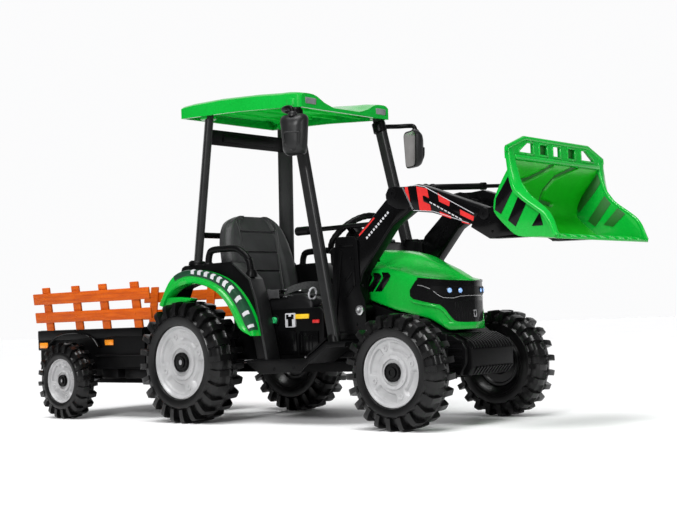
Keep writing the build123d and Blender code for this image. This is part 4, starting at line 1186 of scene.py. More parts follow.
def back_depth(share, height, half):
    """Front face of the seat back: bolsters, sunk centre panel and cross grooves."""
    across = abs(share) * half
    dome = 44 - 10 * smoothstep(0.86, 1.0, abs(share)) - 5 * smoothstep(200, 250, height)
    bolster = 7 * smoothstep(0.50, 0.62, abs(share)) * (1 - smoothstep(0.80, 0.98, abs(share)))
    panel = panel_half(height)
    seams = [seam_at(across - panel)]
    if across < panel:
        seams += [seam_at(height - level) for level in SEAM_LEVELS]
    return dome + bolster - 4 - max(seams)


def make_seat():
    """Grained moulded seat with seam grooves, side bolsters and a waterfall front edge."""
    front = []
    for height in BACK_HEIGHTS:
        half = back_half(height)
        front.append([back_point(s * half, height, back_depth(s, height, half)) for s in SEAT_SHARES])
    rear = [[back_point(s * back_half(h), h, 3 + 6 * smoothstep(0.9, 1, abs(s)))
             for s in reversed(SEAT_SHARES)] for h in BACK_HEIGHTS]
    rows = [face + reverse for face, reverse in zip(front, rear)]
    spines = [tube([Vector(back_point(y, h, 1)) for h in (20, 60, 120, 180, 222)], 5, 12)
              for y in (-84, 0, 84)]
    spines.append(tube([Vector(back_point(y, 60, 1)) for y in (-120, -60, 60, 120)], 5, 12))
    piece("seat_back_rear_ribs", join(*spines), SEAT_PAINTED_SHADE, "chassis", angle=60)
    piece("seat_back_moulding", grid(rows, closed=True, caps=True), SEAT, "chassis", "seat_back", angle=50)
    levels = [(-726, 398), (-700, 394), (-660, 384), (-620, 380), (-560, 379), (-500, 380), (-450, 380),
              (-425, 376), (-408, 368), (-399, 356), (-397, 344)]
    path = smooth_path([(x, 0, z) for x, z in levels], 5)
    rows = []
    for point in path:
        row = []
        for s in SEAT_SHARES:
            y = s * CUSHION_HALF
            lift = 8 * smoothstep(0.60, 0.74, abs(s)) * (1 - smoothstep(0.90, 1.0, abs(s))) * (
                1 - smoothstep(-440, -400, point.x))
            seam = 3 * max(0.0, 1 - abs(abs(y) - 88) / 4)
            for x in CUSHION_SEAMS:
                if abs(y) < 88:
                    seam = max(seam, 3 * max(0.0, 1 - abs(point.x - x) / 4))
            row.append((point.x, y, max(CUSHION_BASE,
                                        point.z + lift - seam - 14 * smoothstep(0.93, 1.0, abs(s)) ** 2)))
        rows.append([(point.x, -CUSHION_HALF, CUSHION_BASE), *row, (point.x, CUSHION_HALF, CUSHION_BASE)])
    # The cushion takes the seat plastic darkened as painted shade.
    piece("seat_cushion_moulding", grid(rows, caps=True), SEAT_PAINTED_SHADE, "chassis", "seat_base", angle=50)


def make_seam_highlight_beads():
    """Raised beads beside the seams of the seat back, paler than the seat as a painted highlight."""
    def run(points):
        """Bead along (y, height) points on the front face."""
        return tube([Vector(back_point(y, h, back_depth(y / back_half(h), h, back_half(h)) + 1.2))
                     for y, h in points], BEAD_RADIUS, 8)

    highlight_beads = [run([(side * (panel_half(h) + 5), h) for h in range(8, 232, 6)]) for side in (-1, 1)]
    for level in SEAM_LEVELS:
        height = level + BEAD_OFFSET
        reach = panel_half(height) - 3
        highlight_beads.append(run([(-reach + 2 * reach * k / 24, height) for k in range(25)]))
    piece("seat_back_highlight_beads", join(*highlight_beads), BUCKLE_GREY_AND_SEAM_HIGHLIGHT, "chassis", angle=60)


def make_belt():
    """Lap belt in two webs with a side-release buckle and an adjuster ring."""
    def web(points, width, across):
        """Flat strap along points, width measured along across."""
        rows = []
        for p in smooth_path(points, 6):
            rows.append([tuple(p + Vector(across) * (width * k / 6 - width / 2)) for k in range(7)])
        return grid(rows)

    anchor = web([(-706, -134, 410), (-665, -143, 398), (-625, -149, 393), (-600, -152, 391),
                  (-578, -153, 390)], 25, (0.1, 0.3, 0.95))
    lap = web([(-508, -153, 395), (-478, -149, 405), (-440, -126, 413), (-412, -84, 408), (-420, -40, 402),
               (-470, 20, 398), (-560, 84, 398), (-650, 122, 402), (-706, 134, 408)], 25, (0.25, 0.3, 0.9))
    tail = web([(-500, -150, 388), (-470, -140, 385), (-440, -120, 386), (-418, -128, 384),
                (-408, -138, 383)], 22, (0.5, 0.8, 0.2))
    piece("belt_webbing", join(anchor, lap, tail), WEBBING, "chassis", "seat_belt", thick=2.5, angle=60)
    buckle = join(block((-572, -530), (-161, -150), (377, 404)),
                  block((-582, -570), (-159, -151), (374, 406)))
    piece("belt_buckle", buckle, BUCKLE_GREY_AND_SEAM_HIGHLIGHT, "chassis", bevel=3, steps=3)
    teeth = join(*(block((-531, -515), (-158, -152), (z, z + 4)) for z in (380, 389, 398)))
    piece("belt_buckle_prongs", teeth, BLACK, "chassis", bevel=1)
    sides = join(*(block((-520, -500), (-157, -151), z) for z in ((379, 383), (400, 404))))
    piece("belt_buckle_frame", sides, STEEL, "chassis", bevel=1)
    ring = [(-408 + 3 * math.sin(a), -140 + 16 * math.cos(a), 386 + 17 * math.sin(a))
            for a in circle(40) + [2 * math.pi]]
    piece("belt_ring", tube(ring, 3.2, 14), LIGHT_GREY, "chassis", angle=50)


# ---- loader ------------------------------------------------------------------------------------------
ARM_IN, ARM_OUT = 137.0, 173.0
TOWER_INNER, TOWER_OUTER, TOWER_RIB = (131, 135), (175, 179), (178, 182)
LIFT_PIVOT, BUCKET_PIVOT, CROSS_TUBE = (-190, 330), (253, 570), (5, 630)
CYLINDER_REAR, CYLINDER_FRONT = (-65, 680), (296, 652)
SCREW_HEAD = [(0, 4), (1.4, 3.6), (1.4, 1.6), (0.6, 0.5)]


def make_towers():
    """Loader uprights: two side plates with moulded ribs and a closed rear web."""
    outline = [(-312, 243), (-300, 350), (-277, 530), (-268, 545), (-206, 543), (-194, 530), (-188, 390),
               (-172, 356), (-170, 243)]
    inner = prism([(-312, 243), (-300, 350), (-277, 530), (-268, 545), (-212, 543), (-197, 530), (-191, 243)],
                  *TOWER_INNER)
    outer = prism(outline, *TOWER_OUTER)
    web = prism([(-312, 243), (-300, 350), (-277, 530), (-268, 545), (-262, 540), (-270, 525), (-293, 350),
                 (-305, 243)], TOWER_INNER[0], TOWER_OUTER[1])
    floor = block((-311, -192), (TOWER_INNER[0], TOWER_OUTER[1]), (243, 248))
    piece("tower_plates", both(join(inner, outer, web, floor)), METAL_BLACK, "chassis", "towers", bevel=1.5)
    ribs = join(prism([(-300, 268), (-286, 262), (-250, 500), (-262, 506)], *TOWER_RIB),
                prism([(-290, 262), (-180, 262), (-180, 270), (-288, 270)], *TOWER_RIB),
                prism([(-266, 516), (-206, 514), (-206, 522), (-262, 524)], *TOWER_RIB),
                prism([(-246, 372), (-212, 404), (-212, 396), (-240, 366)], 178, 181.5),
                prism([(-246, 418), (-212, 450), (-212, 442), (-240, 412)], 178, 181.5),
                prism([(-214, 480), (-206, 480), (-204, 400), (-212, 400)], *TOWER_RIB))
    piece("tower_ribs", both(ribs), METAL_BLACK, "chassis", bevel=1.2)
    heads = [turned((x, TOWER_OUTER[1], z), LEFT, [(0, 4), (1.4, 3.6), (1.4, 1.8), (0.5, 0.6)], 16)
             for x, z in ((-292, 285), (-204, 290), (-220, 480))]
    piece("tower_screws", both(join(*heads)), METAL_BLACK, "chassis", angle=40)
    x, z = LIFT_PIVOT
    caps = join(turned((x, 178, z), LEFT, [(0, 15), (7, 14), (8, 12), (8, 5), (6, 2)], 32),
                turned((x, 129, z), LEFT, [(0, 8), (52, 8)], 28))
    piece("lift_pin_caps", both(caps), STEEL, "chassis", "lift_pins", angle=40)


ARM_OUTLINE = [(-184, 320), (-193, 405), (-178, 437), (-64, 563), (0, 598), (74, 588), (207, 545),
               (262, 556), (262, 584), (62, 660), (30, 671), (-11, 668), (-65, 671), (-86, 638),
               (-190, 550), (-222, 490), (-226, 420), (-206, 338)]


def inset_outline(outline, amount):
    """Same outline drawn inward along its vertex bisectors."""
    count = len(outline)
    area = sum(outline[i][0] * outline[(i + 1) % count][1] - outline[(i + 1) % count][0] * outline[i][1]
               for i in range(count))
    turn = 1 if area > 0 else -1
    result = []
    for i in range(count):
        before, here, after = (Vector(outline[i - 1]), Vector(outline[i]), Vector(outline[(i + 1) % count]))
        a, b = (here - before).normalized(), (after - here).normalized()
        normal_a, normal_b = Vector((-a.y, a.x)) * turn, Vector((-b.y, b.x)) * turn
        bisector = (normal_a + normal_b).normalized()
        scale = amount / max(0.35, bisector.dot(normal_a))
        result.append(tuple(here + bisector * scale))
    return result


def make_arm(name):
    """Box-section arm in moulded halves with bosses, seam, decals and screws."""
    hand = 1 if name == "left" else -1
    body, node = "loader", f"lift_arm_{name}"

    def put(tag, mesh, finish, stands=(), **how):
        """Place a part of this arm, mirrored for the right one."""
        piece(f"arm_{tag}_{name}", mesh if hand > 0 else flip(mesh), finish, body, stands, **how)

    core = prism(ARM_OUTLINE, ARM_IN, ARM_OUT)
    put("box", core, METAL_BLACK, node, bevel=3, steps=3)
    bosses = join(turned((LIFT_PIVOT[0], ARM_IN, LIFT_PIVOT[1]), LEFT, [(0, 16), (36, 16)], 40),
                  turned((BUCKET_PIVOT[0], ARM_IN, BUCKET_PIVOT[1]), LEFT, [(0, 16.5), (36, 16.5)], 40),
                  turned((-52, ARM_OUT - 1, 640), LEFT, [(0, 27), (3, 26), (3, 18), (1.5, 17)], 40))
    put("bosses", bosses, METAL_BLACK, angle=40)
    plate = inset_outline([(-193, 405), (-178, 437), (-64, 563), (0, 598), (-6, 640), (-62, 668), (-86, 638),
                           (-190, 550), (-222, 490), (-226, 420), (-206, 345)], 5)
    put("lower_panel", both_faces(plate, 1.4), GLOSS_BLACK, bevel=0.8)
    cap = [(-85, 652), (-75, 669), (-50, 672), (-26, 667), (4, 608), (-18, 606), (-48, 609), (-77, 625),
           (-84, 641)]
    put("elbow_cap", both_faces(cap, 2.2), METAL_BLACK, bevel=1)
    ear = turned((-58, ARM_OUT, 652), LEFT, [(0, 13), (4, 12.5), (4, 6), (1, 5)], 28)
    put("elbow_eye", ear, METAL_BLACK, angle=40)
    put("seam_line", outer_face([(-25, 667), (-21, 667), (13, 604), (8, 602)], 2.6), STEEL)
    boom = [(-16, 667), (28, 668), (60, 658), (240, 585), (262, 570), (210, 548), (76, 590), (16, 593)]
    put("boom_panel", both_faces(inset_outline(boom, 3), 1.2), GLOSS_BLACK, bevel=0.5)
    reds = [[(-15, 667), (-5, 666), (3, 617), (-14, 646)],
            [(25, 665), (62, 655), (73, 593), (34, 598)],
            [(97, 640), (137, 613), (134, 600), (101, 616)],
            [(169, 589), (214, 566), (211, 554), (170, 574)],
            [(102, 589), (139, 573), (139, 566), (103, 580)],
            [(174, 557), (200, 548), (199, 546), (174, 553)]]
    put("red_blocks", markings(reds, 2.4), RED)
    band = [(46, 637), (53, 636), (206, 553), (204, 547), (48, 621)]
    put("boom_black_band", outer_face(band, 3.0), GLOSS_BLACK, bevel=0.4)
    dash = [(70, 619), (78, 614.6), (78, 611), (70, 615.4)]
    put("band_dashes", markings(stepped(dash, 12, -6.5, 9), 3.5), LIGHT_GREY)
    upper_line = [(5, 669.5), (30, 667.5), (55, 661.5), (74, 650.5), (214, 574), (214, 572.4), (73, 649),
                  (54, 660), (30, 666), (5, 668)]
    lower_line = [(12, 600), (80, 592), (196, 551), (196, 549.5), (80, 590.4), (12, 598.4)]
    put("silver_lines", markings([upper_line, lower_line], 2.6), LIGHT_GREY)
    put("red_stripe", outer_face([(-189, 546), (-186, 542), (-128, 588), (-131, 592)], 2.2), RED)
    pale = [(-163, 536), (-159, 531), (-154, 535), (-158, 540)]
    put("pale_dashes", markings(stepped(pale, 8.8, 7.2, 10), 2.2), LIGHT_GREY)
    head_places = ((-117, 560), (-52, 640), (-180, 400), (-150, 470))
    for tag, y, direction in (("out", ARM_OUT + 1.2, LEFT), ("in", ARM_IN - 1.2, RIGHT)):
        heads = join(*(turned((x, y, z), direction, SCREW_HEAD, 14) for x, z in head_places))
        put(f"screws_{tag}", heads, METAL_BLACK, angle=40)


def both_faces(outline, thickness):
    """Thin plates standing proud of the outer and inner faces of an arm."""
    outer = prism(outline, ARM_OUT - 0.4, ARM_OUT + thickness)
    inner = prism(outline, ARM_IN - thickness, ARM_IN + 0.4)
    return join(outer, inner)


def outer_face(outline, thickness):
    """Thin plate standing proud of the outer face only, for markings."""
    return prism(outline, ARM_OUT + 1.0, ARM_OUT + thickness)


def markings(outlines, thickness):
    """Several markings of one colour."""
    return join(*(outer_face(outline, thickness) for outline in outlines))


def make_cross_parts():
    """Cross tube between the arms with collars and cylinder lugs, and the hand lever's grip."""
    x, z = CROSS_TUBE
    tube_mesh = turned((x, -ARM_IN, z), LEFT, [(0, 12), (2 * ARM_IN, 12)], 36)
    lugs = both(prism([(8, 618), (16, 632), (-60, 690), (-70, 690), (-77, 682), (-72, 670), (-6, 620)], 12,
                      16))
    collars = both(turned((x, 118, z), LEFT, [(0, 15), (4, 17), (19, 17)], 36))
    piece("cross_tube_weldment", join(tube_mesh, collars), METAL_BLACK, "loader", "cross_tube", angle=40)
    piece("cross_tube_lugs", lugs, METAL_BLACK, "loader", bevel=1)
    pin = turned((CYLINDER_REAR[0], -18.5, CYLINDER_REAR[1]), LEFT,
                 [(0, 6), (2, 6.5), (3, 4), (34, 4), (35, 6.5), (37, 6)], 24)
    piece("cross_tube_pin", pin, STEEL, "loader", angle=40)
    ridges = [(8 + 4 * k, 13.5 if k % 2 else 12.0) for k in range(11)]
    grip = turned((-450, -155, 575), AHEAD,
                  [(0, 9), (3, 13), (6, 13.5), *ridges, (54, 13.5), (57, 9), (58, 7), (322, 7)], 32)
    piece("lever_grip", grip, BLACK, "loader", "control_lever", angle=50)


def make_cylinder():
    """Tilt cylinder: barrel on the cross tube's pin and rod to the bucket lug."""
    rear = Vector((CYLINDER_REAR[0], 0, CYLINDER_REAR[1]))
    front = Vector((CYLINDER_FRONT[0], 0, CYLINDER_FRONT[1]))
    axis = (front - rear).normalized()
    sleeve = [(0, 9), (4, 10.5), (12, 10.5), (14, 9), (176, 9), (178, 10.8), (192, 10.8), (193, 6)]
    barrel = join(turned(rear + axis * 8, axis, sleeve, 32),
                  turned((rear.x, -11.4, rear.z), LEFT, [(0, 9), (22.8, 9)], 32))
    piece("cylinder_barrel", barrel, METAL_BLACK, "tilt_cylinder", "tilt_cylinder", angle=40)
    rod = join(turned(rear + axis * 60, axis, [(0, 5.4), ((front - rear).length - 66, 5.4)], 28),
               turned((front.x, -8.6, front.z), LEFT, [(0, 8), (17.2, 8)], 28),
               turned((front.x, -17, front.z), LEFT, [(0, 3.5), (34, 3.5)], 20))
    piece("cylinder_rod", rod, METAL_BLACK, "tilt_rod", "tilt_rod", angle=40)


# ---- bucket ------------------------------------------------------------------------------------------
BUCKET_HALF, FLANGE_HALF = 222.0, 243.0
BACK_NARROWING, SIDE_SLOPE, BACK_X = 19, 0.123, 297
MOUTH_EDGE = [(500, 497), (470, 556), (412, 603), (386, 640), (371, 701)]
FLANGE_OUTER = [(372, 733), (372, 716), (384, 632), (410, 597), (476, 546), (502, 494)]
FLANGE_INNER = [(373, 728), (375, 706), (392, 642), (416, 606), (480, 552), (504, 497)]
BACK_CURVE = [(372, 704), (366, 688), (346, 661), (326, 634), (311, 609), (305, 590), (305, 572), (322, 551),
              (345, 530), (368, 511), (396, 503), (450, 500), (500, 493)]
GROOVES = [[(-21, 699), (-50, 681), (-100, 660), (-150, 646)],
           [(105, 702), (71, 690), (14, 668), (-4, 636), (2, 608), (62, 600)]]
SLOTS = [(-190, -120, "outer"), (-92, -52, "blind"), (-26, 14, "open"), (50, 90, "blind"),
         (120, 190, "outer")]
SLOT_Z = (717.0, 748.0)
GROOVE_DEPTH, GROOVE_SHADE_WIDTH, GROOVE_SHADE_INSET, GROOVE_SHADE_PARTS = 7, 4.6, 5.0, 6
TOOTH_COUNT, TOOTH_SHARE = 9, 0.52


def side_half(x):
    """Half width of the bucket, which narrows from its mouth to its back."""
    return BUCKET_HALF - BACK_NARROWING + SIDE_SLOPE * (x - BACK_X)


def lean(mesh):
    """Tilt an upright sheet drawn at the mouth width so that it follows the narrowing sides."""
    return [(x, y - BUCKET_HALF + side_half(x), z) for x, y, z in mesh[0]], mesh[1]


def groove_depth(y, z):
    """Depth of the pressed zig-zag grooves in the back sheet."""
    nearest = 99.0
    for line in GROOVES:
        for a, b in zip(line, line[1:]):
            start, along = Vector(a), Vector(b) - Vector(a)
            share = max(0.0, min(1.0, (Vector((y, z)) - start).dot(along) / along.length_squared))
            nearest = min(nearest, (Vector((y, z)) - start - along * share).length)
    return GROOVE_DEPTH * (1 - smoothstep(4, 8, nearest))


def groove_shade_strip(curve, start, end):
    """Dark strip of painted shade lying in one leg of a groove, following the back sheet."""
    heights = sorted((p.z, p.x) for p in curve if p.x < 372)
    rows = []
    run = Vector((end[0] - start[0], end[1] - start[1])).normalized() * GROOVE_SHADE_WIDTH
    for k in range(GROOVE_SHADE_PARTS + 1):
        y = start[0] + (end[0] - start[0]) * k / GROOVE_SHADE_PARTS
        z = start[1] + (end[1] - start[1]) * k / GROOVE_SHADE_PARTS
        rows.append([(look_up(heights, z + side * run.x) - GROOVE_SHADE_INSET, y - side * run.y, z + side * run.x)
                     for side in (-1, 1)])
    return grid(rows)


def make_bucket():
    """Pressed bucket: grooved back sheet, side plates, broad mouth flange, slotted top, toothed lip."""
    curve = smooth_path([(x, 0, z) for x, z in BACK_CURVE], 14)
    shares = [k / 60 for k in range(-60, 61)]
    rows = []
    for p in curve:
        wall = 1 - smoothstep(560, 600, 1160 - p.z)
        half = side_half(p.x)
        rows.append([(p.x - groove_depth(s * half, p.z) * wall, s * half, p.z) for s in shares])
    piece("bucket_sheet", grid(rows), BUCKET_GREEN, "bucket", "bucket", thick=5, angle=50)
    plate = inset_outline([(p.x, p.z) for p in curve[::7]] + MOUTH_EDGE, -5)
    side = both(lean(prism(plate, BUCKET_HALF - 0.5, BUCKET_HALF + 6)))
    piece("bucket_side_plates", side, GREEN, "bucket", bevel=2, steps=3)
    # Painted shade: dark strips lying in the grooves of the back sheet.
    groove_shades = [groove_shade_strip(curve, a, b) for line in GROOVES for a, b in zip(line, line[1:])]
    piece("bucket_groove_painted_shade", join(*groove_shades), STRIPE_AND_SHADE_GREEN, "bucket", thick=0.6)
    outer = smooth_path([(x, 0, z) for x, z in FLANGE_OUTER], 6)
    inner = smooth_path([(x, 0, z) for x, z in FLANGE_INNER], 6)
    rows = []
    for out, inn in zip(outer, inner):
        rows.append([(out.x - 9, FLANGE_HALF - 1, out.z - 3), (out.x - 1, FLANGE_HALF, out.z),
                     (out.x + 2, FLANGE_HALF - 4, out.z + 1), (inn.x + 1, side_half(inn.x) + 3, inn.z + 1),
                     (inn.x - 2, side_half(inn.x) - 1, inn.z), (inn.x - 9, side_half(inn.x) - 2, inn.z - 3)])
    piece("bucket_mouth_flanges", both(grid(rows, closed=True, caps=True)), GREEN, "bucket", bevel=1.5,
          angle=30)
    make_top_flange()
    pitch = 2 * BUCKET_HALF / TOOTH_COUNT
    tooth = [(470, 496), (505, 489), (507, 492), (498, 499), (472, 503)]
    teeth = []
    for k in range(TOOTH_COUNT):
        y0 = -BUCKET_HALF + k * pitch
        teeth.append(prism(tooth, y0, y0 + TOOTH_SHARE * pitch))
    piece("bucket_lip_teeth", join(*teeth), GREEN, "bucket", bevel=1.2)
    rail = prism([(488, 489), (506, 486), (507, 491), (490, 495)], -BUCKET_HALF - 8, BUCKET_HALF + 8)
    piece("bucket_cutting_edge", rail, GREEN, "bucket", bevel=1)


def make_top_flange():
    """Thick upright flange above the mouth: chamfered corners, raised rim, five slots, two of them blind."""
    ledge_z, top_z, flat_half = 700.0, 758.0, 162.0
    front, back = 373.0, 363.0

    def top_at(y):
        """Height of the flange, which falls towards its corners."""
        return top_z - max(0.0, abs(y) - flat_half) * 0.37

    def slot_top(y, kind):
        """Height of a slot's upper edge; the outer slots are chamfered."""
        return SLOT_Z[1] - (max(0.0, abs(y) - 150) * 0.62 if kind == "outer" else 0.0)

    cuts = sorted({-FLANGE_HALF, FLANGE_HALF, -flat_half, flat_half, -150.0, 150.0}
                  | {float(v) for a, b, _ in SLOTS for v in (a, b)})
    panels, blind_slot_shades, rims = [], [], []
    for y0, y1 in zip(cuts, cuts[1:]):
        kind = next((k for a, b, k in SLOTS if a <= y0 and y1 <= b), None)
        spans = [(ledge_z, ledge_z, top_at(y0), top_at(y1))]   # heights at y0 and y1, below then above
        if kind:
            spans = [(ledge_z, ledge_z, SLOT_Z[0], SLOT_Z[0]),
                     (slot_top(y0, kind), slot_top(y1, kind), top_at(y0), top_at(y1))]
        for a0, a1, b0, b1 in spans:
            outline = ((y0, a0), (y1, a1), (y1, b1), (y0, b0))
            panels.append(([(x, y, z) for x in (front, back) for y, z in outline], BOX_FACES))
    piece("bucket_top_flange", join(*panels), GREEN, "bucket")
    for y0, y1, kind in SLOTS:
        # A blind slot's back is dark green as painted shade in the recess.
        if kind == "blind":
            blind_slot_shades.append(block((back - 3, back + 1), (y0, y1), SLOT_Z))
        middle = math.copysign(150, y0) if kind == "outer" else y1
        ring = [(y0, SLOT_Z[0]), (y1, SLOT_Z[0]), (y1, slot_top(y1, kind)), (middle, SLOT_Z[1]),
                (y0, slot_top(y0, kind))]
        ring = [p for i, p in enumerate(ring) if p != ring[i - 1]]
        for a, b in zip(ring, ring[1:] + ring[:1]):
            rims.append(bar((front - 1, *a), (front - 1, *b), 3.0, 10, 0.5))
    piece("bucket_blind_slot_painted_shade", join(*blind_slot_shades), STRIPE_AND_SHADE_GREEN, "bucket")
    piece("bucket_slot_rims", join(*rims), GREEN, "bucket", angle=50)
    x, side = front - 4, FLANGE_HALF - 3
    edge = [(x, -side, 716), (x, -side, 728), (x, -flat_half, 757), (x, flat_half, 757), (x, side, 728),
            (x, side, 716)]
    piece("bucket_top_rim", tube([Vector(p) for p in edge], 6.5, 16), GREEN, "bucket", angle=50)
    ledge = prism([(364, 712), (376, 711), (380, 706), (378, 699), (364, 696)], -BUCKET_HALF + 9,
                  BUCKET_HALF - 9)
    piece("bucket_top_ledge", ledge, GREEN, "bucket", bevel=2, steps=3)


def make_bucket_details():
    """Side markings, gusset plates with their pin caps, shoes and rod lugs."""
    stripes = [[(360, 664), (375, 660), (375, 631), (325, 562), (305, 574), (310, 604)],
               [(388, 609), (418, 596), (371, 526), (347, 544)],
               [(450, 556), (459, 522), (423, 523)]]
    plates = [both(lean(prism(outline, BUCKET_HALF + 5.6, BUCKET_HALF + 7.2))) for outline in stripes]
    piece("bucket_side_stripes", join(*plates), GLOSS_BLACK, "bucket", bevel=0.3)
    inner = [[(371, 688), (379, 662), (360, 636), (318, 590), (310, 583), (303, 606), (340, 650)],
             [(388, 624), (406, 601), (357, 540), (336, 557)],
             [(425, 587), (446, 569), (409, 536), (382, 543)]]
    faint = [both(lean(prism(outline, BUCKET_HALF - 2, BUCKET_HALF - 0.3))) for outline in inner]
    piece("bucket_inner_stripes", join(*faint), STRIPE_AND_SHADE_GREEN, "bucket", bevel=0.3)
    gusset = inset_outline([(206, 538), (223, 565), (245, 585), (272, 586), (302, 594), (305, 564),
                            (332, 532), (342, 508), (263, 504)], 0.6)
    plates = join(*(both(prism(gusset, y, y + 5)) for y in (131, 177.5)))
    piece("bucket_gussets", plates, GLOSS_BLACK, "bucket", bevel=1.5)
    x, z = BUCKET_PIVOT
    pivot = [turned((x, 128, z), LEFT, [(0, 7), (56, 7)], 28)]
    discs = [turned((x, 182, z), LEFT, [(0, 16), (4, 15), (5, 12), (5, 5), (3, 4)], 32)]
    discs += [turned((x, 182, z), LEFT, [(0, 4), (2, 3.4), (2, 1.4)], 14)
              for x, z in ((276, 522), (326, 524), (300, 560), (268, 546))]
    piece("bucket_pin_caps", both(join(*discs, *pivot)), METAL_BLACK, "bucket", angle=40)
    shoe = both(prism([(258, 504), (262, 511), (362, 509), (372, 501)], 136, 174))
    piece("bucket_shoes", shoe, METAL_BLACK, "bucket", bevel=1.5)
    lugs = both(prism([(317, 628), (278, 634), (278, 672), (326, 674), (324, 650)], 9, 15))
    piece("bucket_rod_lugs", lugs, GREEN, "bucket", bevel=1)
    washers = both(turned((297.5, 15, 652), LEFT, [(0, 12), (2, 11.5)], 28))
    piece("bucket_rod_washers", washers, METAL_BLACK, "bucket", angle=40)


# ---- trailer -----------------------------------------------------------------------------------------
TUB_X, TUB_HALF, TUB_BASE, TUB_TOP = (-1668.0, -1090.0), 222.0, 166.0, 304.0
RAIL_BASE, FOOT_BASE = 114, 134


def make_trailer():
    """Moulded tub: upper band, ledge, recessed lower wall, wheel arches, reflectors, fences, frame."""
    x0, x1 = TUB_X
    half = TUB_HALF
    walls = [block((x0, x1), (-half, half), (TUB_BASE, TUB_BASE + 8)),
             block((x1 - 5, x1), (-half, half), (TUB_BASE, TUB_TOP)),
             block((x0, x0 + 5), (-half, half), (TUB_BASE, 266)),
             both(block((x0, x1), (half - 5, half), (TUB_BASE, TUB_TOP)))]
    piece("tub_shell", join(*walls), BLACK, "trailer", "trailer_tub", bevel=2)
    band = prism([(x0, 303), (x1, 303), (x1, 275), (-1246, 275), (-1286, 269), (x0, 268)], half - 1,
                 half + 12)
    shelf = prism([(-1343, 216), (x1, 216), (x1, 209), (-1343, 209)], half - 1, half + 10)
    piece("tub_upper_bands", both(join(band, shelf)), BLACK, "trailer", bevel=3, steps=3)
    feet = [block(x, (half - 60, half - 8), (FOOT_BASE, TUB_BASE + 4))
            for x in ((-1330, -1244), (-1208, x1 - 2))]
    piece("tub_feet", both(join(*feet)), BLACK, "trailer", bevel=3)
    corner = block((x0, -1591), (half - 1, half + 11), (233, 269))
    piece("tub_corner_boxes", both(corner), BLACK, "trailer", bevel=2.5)
    end_ribs = []
    for y in range(-190, 171, 60):
        end_ribs.append(block((x1 - 1, x1 + 4), (y, y + 12), (TUB_BASE + 6, 292)))
        end_ribs.append(block((x0 - 4, x0 + 1), (y, y + 12), (TUB_BASE + 6, 258)))
    piece("tub_end_ribs", join(*end_ribs), BLACK, "trailer", bevel=2)
    arch_line = smooth_path([(-1607, 239, 0), (-1576, 269, 0), (-1524, 286, 0), (-1452, 291, 0),
                             (-1382, 284, 0), (-1341, 266, 0), (-1315, 240, 0)], 6)
    rows = [[(p.x, half - 1, p.y + 4), (p.x, half + 16, p.y + 4), (p.x, half + 18, p.y + 1),
             (p.x, half + 16, p.y - 2), (p.x, half - 1, p.y - 2)] for p in arch_line]
    piece("tub_wheel_arches", both(grid(rows, closed=True, caps=True)), GLOSS_BLACK, "trailer", angle=50)
    reflectors = join(both(block((-1297, -1253), (half, half + 3), (247, 265))),
                      both(block((-1655, -1609), (half + 10, half + 13.5), (241, 260))),
                      both(block((x0 - 7, x0 - 3), (150, 200), (233, 260))))
    piece("tub_reflectors", reflectors, AMBER, "trailer", bevel=1)
    floor_ribs = join(*(block((x, x + 14), (-half + 14, half - 14), (TUB_BASE + 7, TUB_BASE + 11))
                        for x in range(-1640, -1110, 66)))
    piece("tub_floor_ribs", floor_ribs, BLACK, "trailer", bevel=1.5)
    make_fences()
    bars = join(both(block((-1640, -1096), (120, 144), (RAIL_BASE, TUB_BASE))),
                block((-1120, -1096), (-144, 144), (RAIL_BASE, TUB_BASE)),
                block((-1640, -1616), (-144, 144), (RAIL_BASE, TUB_BASE)))
    piece("trailer_frame_rails", bars, METAL_BLACK, "trailer", "trailer_frame", bevel=2)
    tongue = block((-1112, -1014), (-14, 14), (126, 136))
    eye = turned((-1000, 0, 126), UP, [(0, 19), (1, 20), (9, 20), (10, 19), (10, 7.2), (0, 7.2)], 40)
    piece("drawbar", join(tongue, eye), METAL_BLACK, "trailer", bevel=0.8)
    axle = turned((-1441, -302, 130), LEFT, [(0, 8), (604, 8)], 28)
    piece("trailer_axle_bar", axle, STEEL, "trailer", angle=40)


FENCE_LEAN, FENCE_UPRIGHT = 0.118, 0.993   # sine and cosine of the fences' outward lean
POST_XS, FENCE_X, RAIL_HEIGHTS = (-1586, -1417, -1268, -1101), (-1653, -1020), ((25, 62), (90, 129))


def fence_point(x, out, height):
    """Point on the leaning fence plane: along, outward and up from the tub lip."""
    across = 230 + out * FENCE_UPRIGHT + height * FENCE_LEAN
    return (x, across, 307.5 + height * FENCE_UPRIGHT - out * FENCE_LEAN)


def board(x_from, x_to, low, high, out_from, out_to):
    """Plank lying in the fence plane."""
    corners = []
    for out in (out_from, out_to):
        corners += [fence_point(x, out, height)
                    for x, height in ((x_from, low), (x_to, low), (x_to, high), (x_from, high))]
    return corners, BOX_FACES


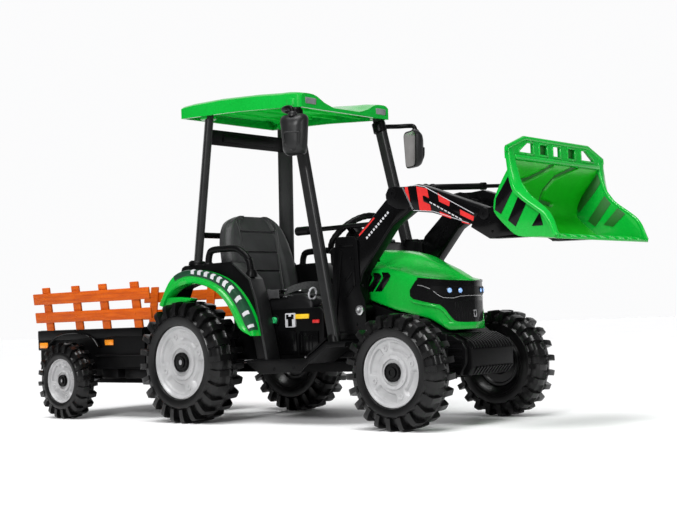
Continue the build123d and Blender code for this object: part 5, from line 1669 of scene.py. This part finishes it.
def make_fences():
    """Two slatted fences: posts, rails, grain beads and screws."""
    posts = join(*(board(x - 20, x + 20, -4, 149, 0, 9) for x in POST_XS))
    piece("fence_posts", both(posts), ORANGE, "trailer", "side_fences", bevel=2.5, steps=3)
    rails = join(*(board(*FENCE_X, low, high, 9, 17) for low, high in RAIL_HEIGHTS))
    piece("fence_rails", both(rails), ORANGE, "trailer", bevel=2.5, steps=3)
    grains = []
    for low, high in RAIL_HEIGHTS:
        for share in (0.3, 0.66):
            z = low + (high - low) * share
            grains.append(board(FENCE_X[0] + 6, FENCE_X[1] - 6, z - 0.7, z + 0.7, 16.8, 17.6))
    piece("fence_grain_beads", both(join(*grains)), ORANGE, "trailer")
    outward = (0, FENCE_UPRIGHT, -FENCE_LEAN)
    heads = [turned(fence_point(x, 16.5, height), outward, [(0, 5), (1.6, 4.4), (1.6, 1.6)], 16)
             for x in POST_XS for height in (44, 110)]
    piece("fence_screws", both(join(*heads)), ORANGE, "trailer", angle=40)


# ---- chassis steelwork -------------------------------------------------------------------------------
def make_steelwork():
    """Finishes of the kept CAD nodes, and the gearbox covers."""
    refinish(METAL_BLACK, "frame_rails", "hitch_bracket", "knuckle_left", "knuckle_right", "tie_rod",
             "motor_gearboxes", "steering_shaft")
    refinish(STEEL, "rear_axle")
    refinish(BLACK, "battery")
    covers = both(turned((-836, 184, 190), RIGHT, [(0, 46), (6, 46), (8, 40), (8, 12)], 40))
    piece("gearbox_covers", covers, METAL_BLACK, "chassis", angle=40)


# ---- everything together -----------------------------------------------------------------------------
def main():
    """Builds everything in a fixed order."""
    make_camera()
    make_studio()
    make_wheels()
    make_hood()
    make_grille()
    make_bumper()
    make_roof()
    make_posts()
    make_mirrors()
    make_fenders()
    make_floor()
    make_console()
    make_switches()
    make_cowl()
    make_steering()
    make_pedal()
    make_seat()
    make_seam_highlight_beads()
    make_belt()
    make_towers()
    make_arm("left")
    make_arm("right")
    make_cross_parts()
    make_cylinder()
    make_bucket()
    make_bucket_details()
    make_trailer()
    make_steelwork()


main()
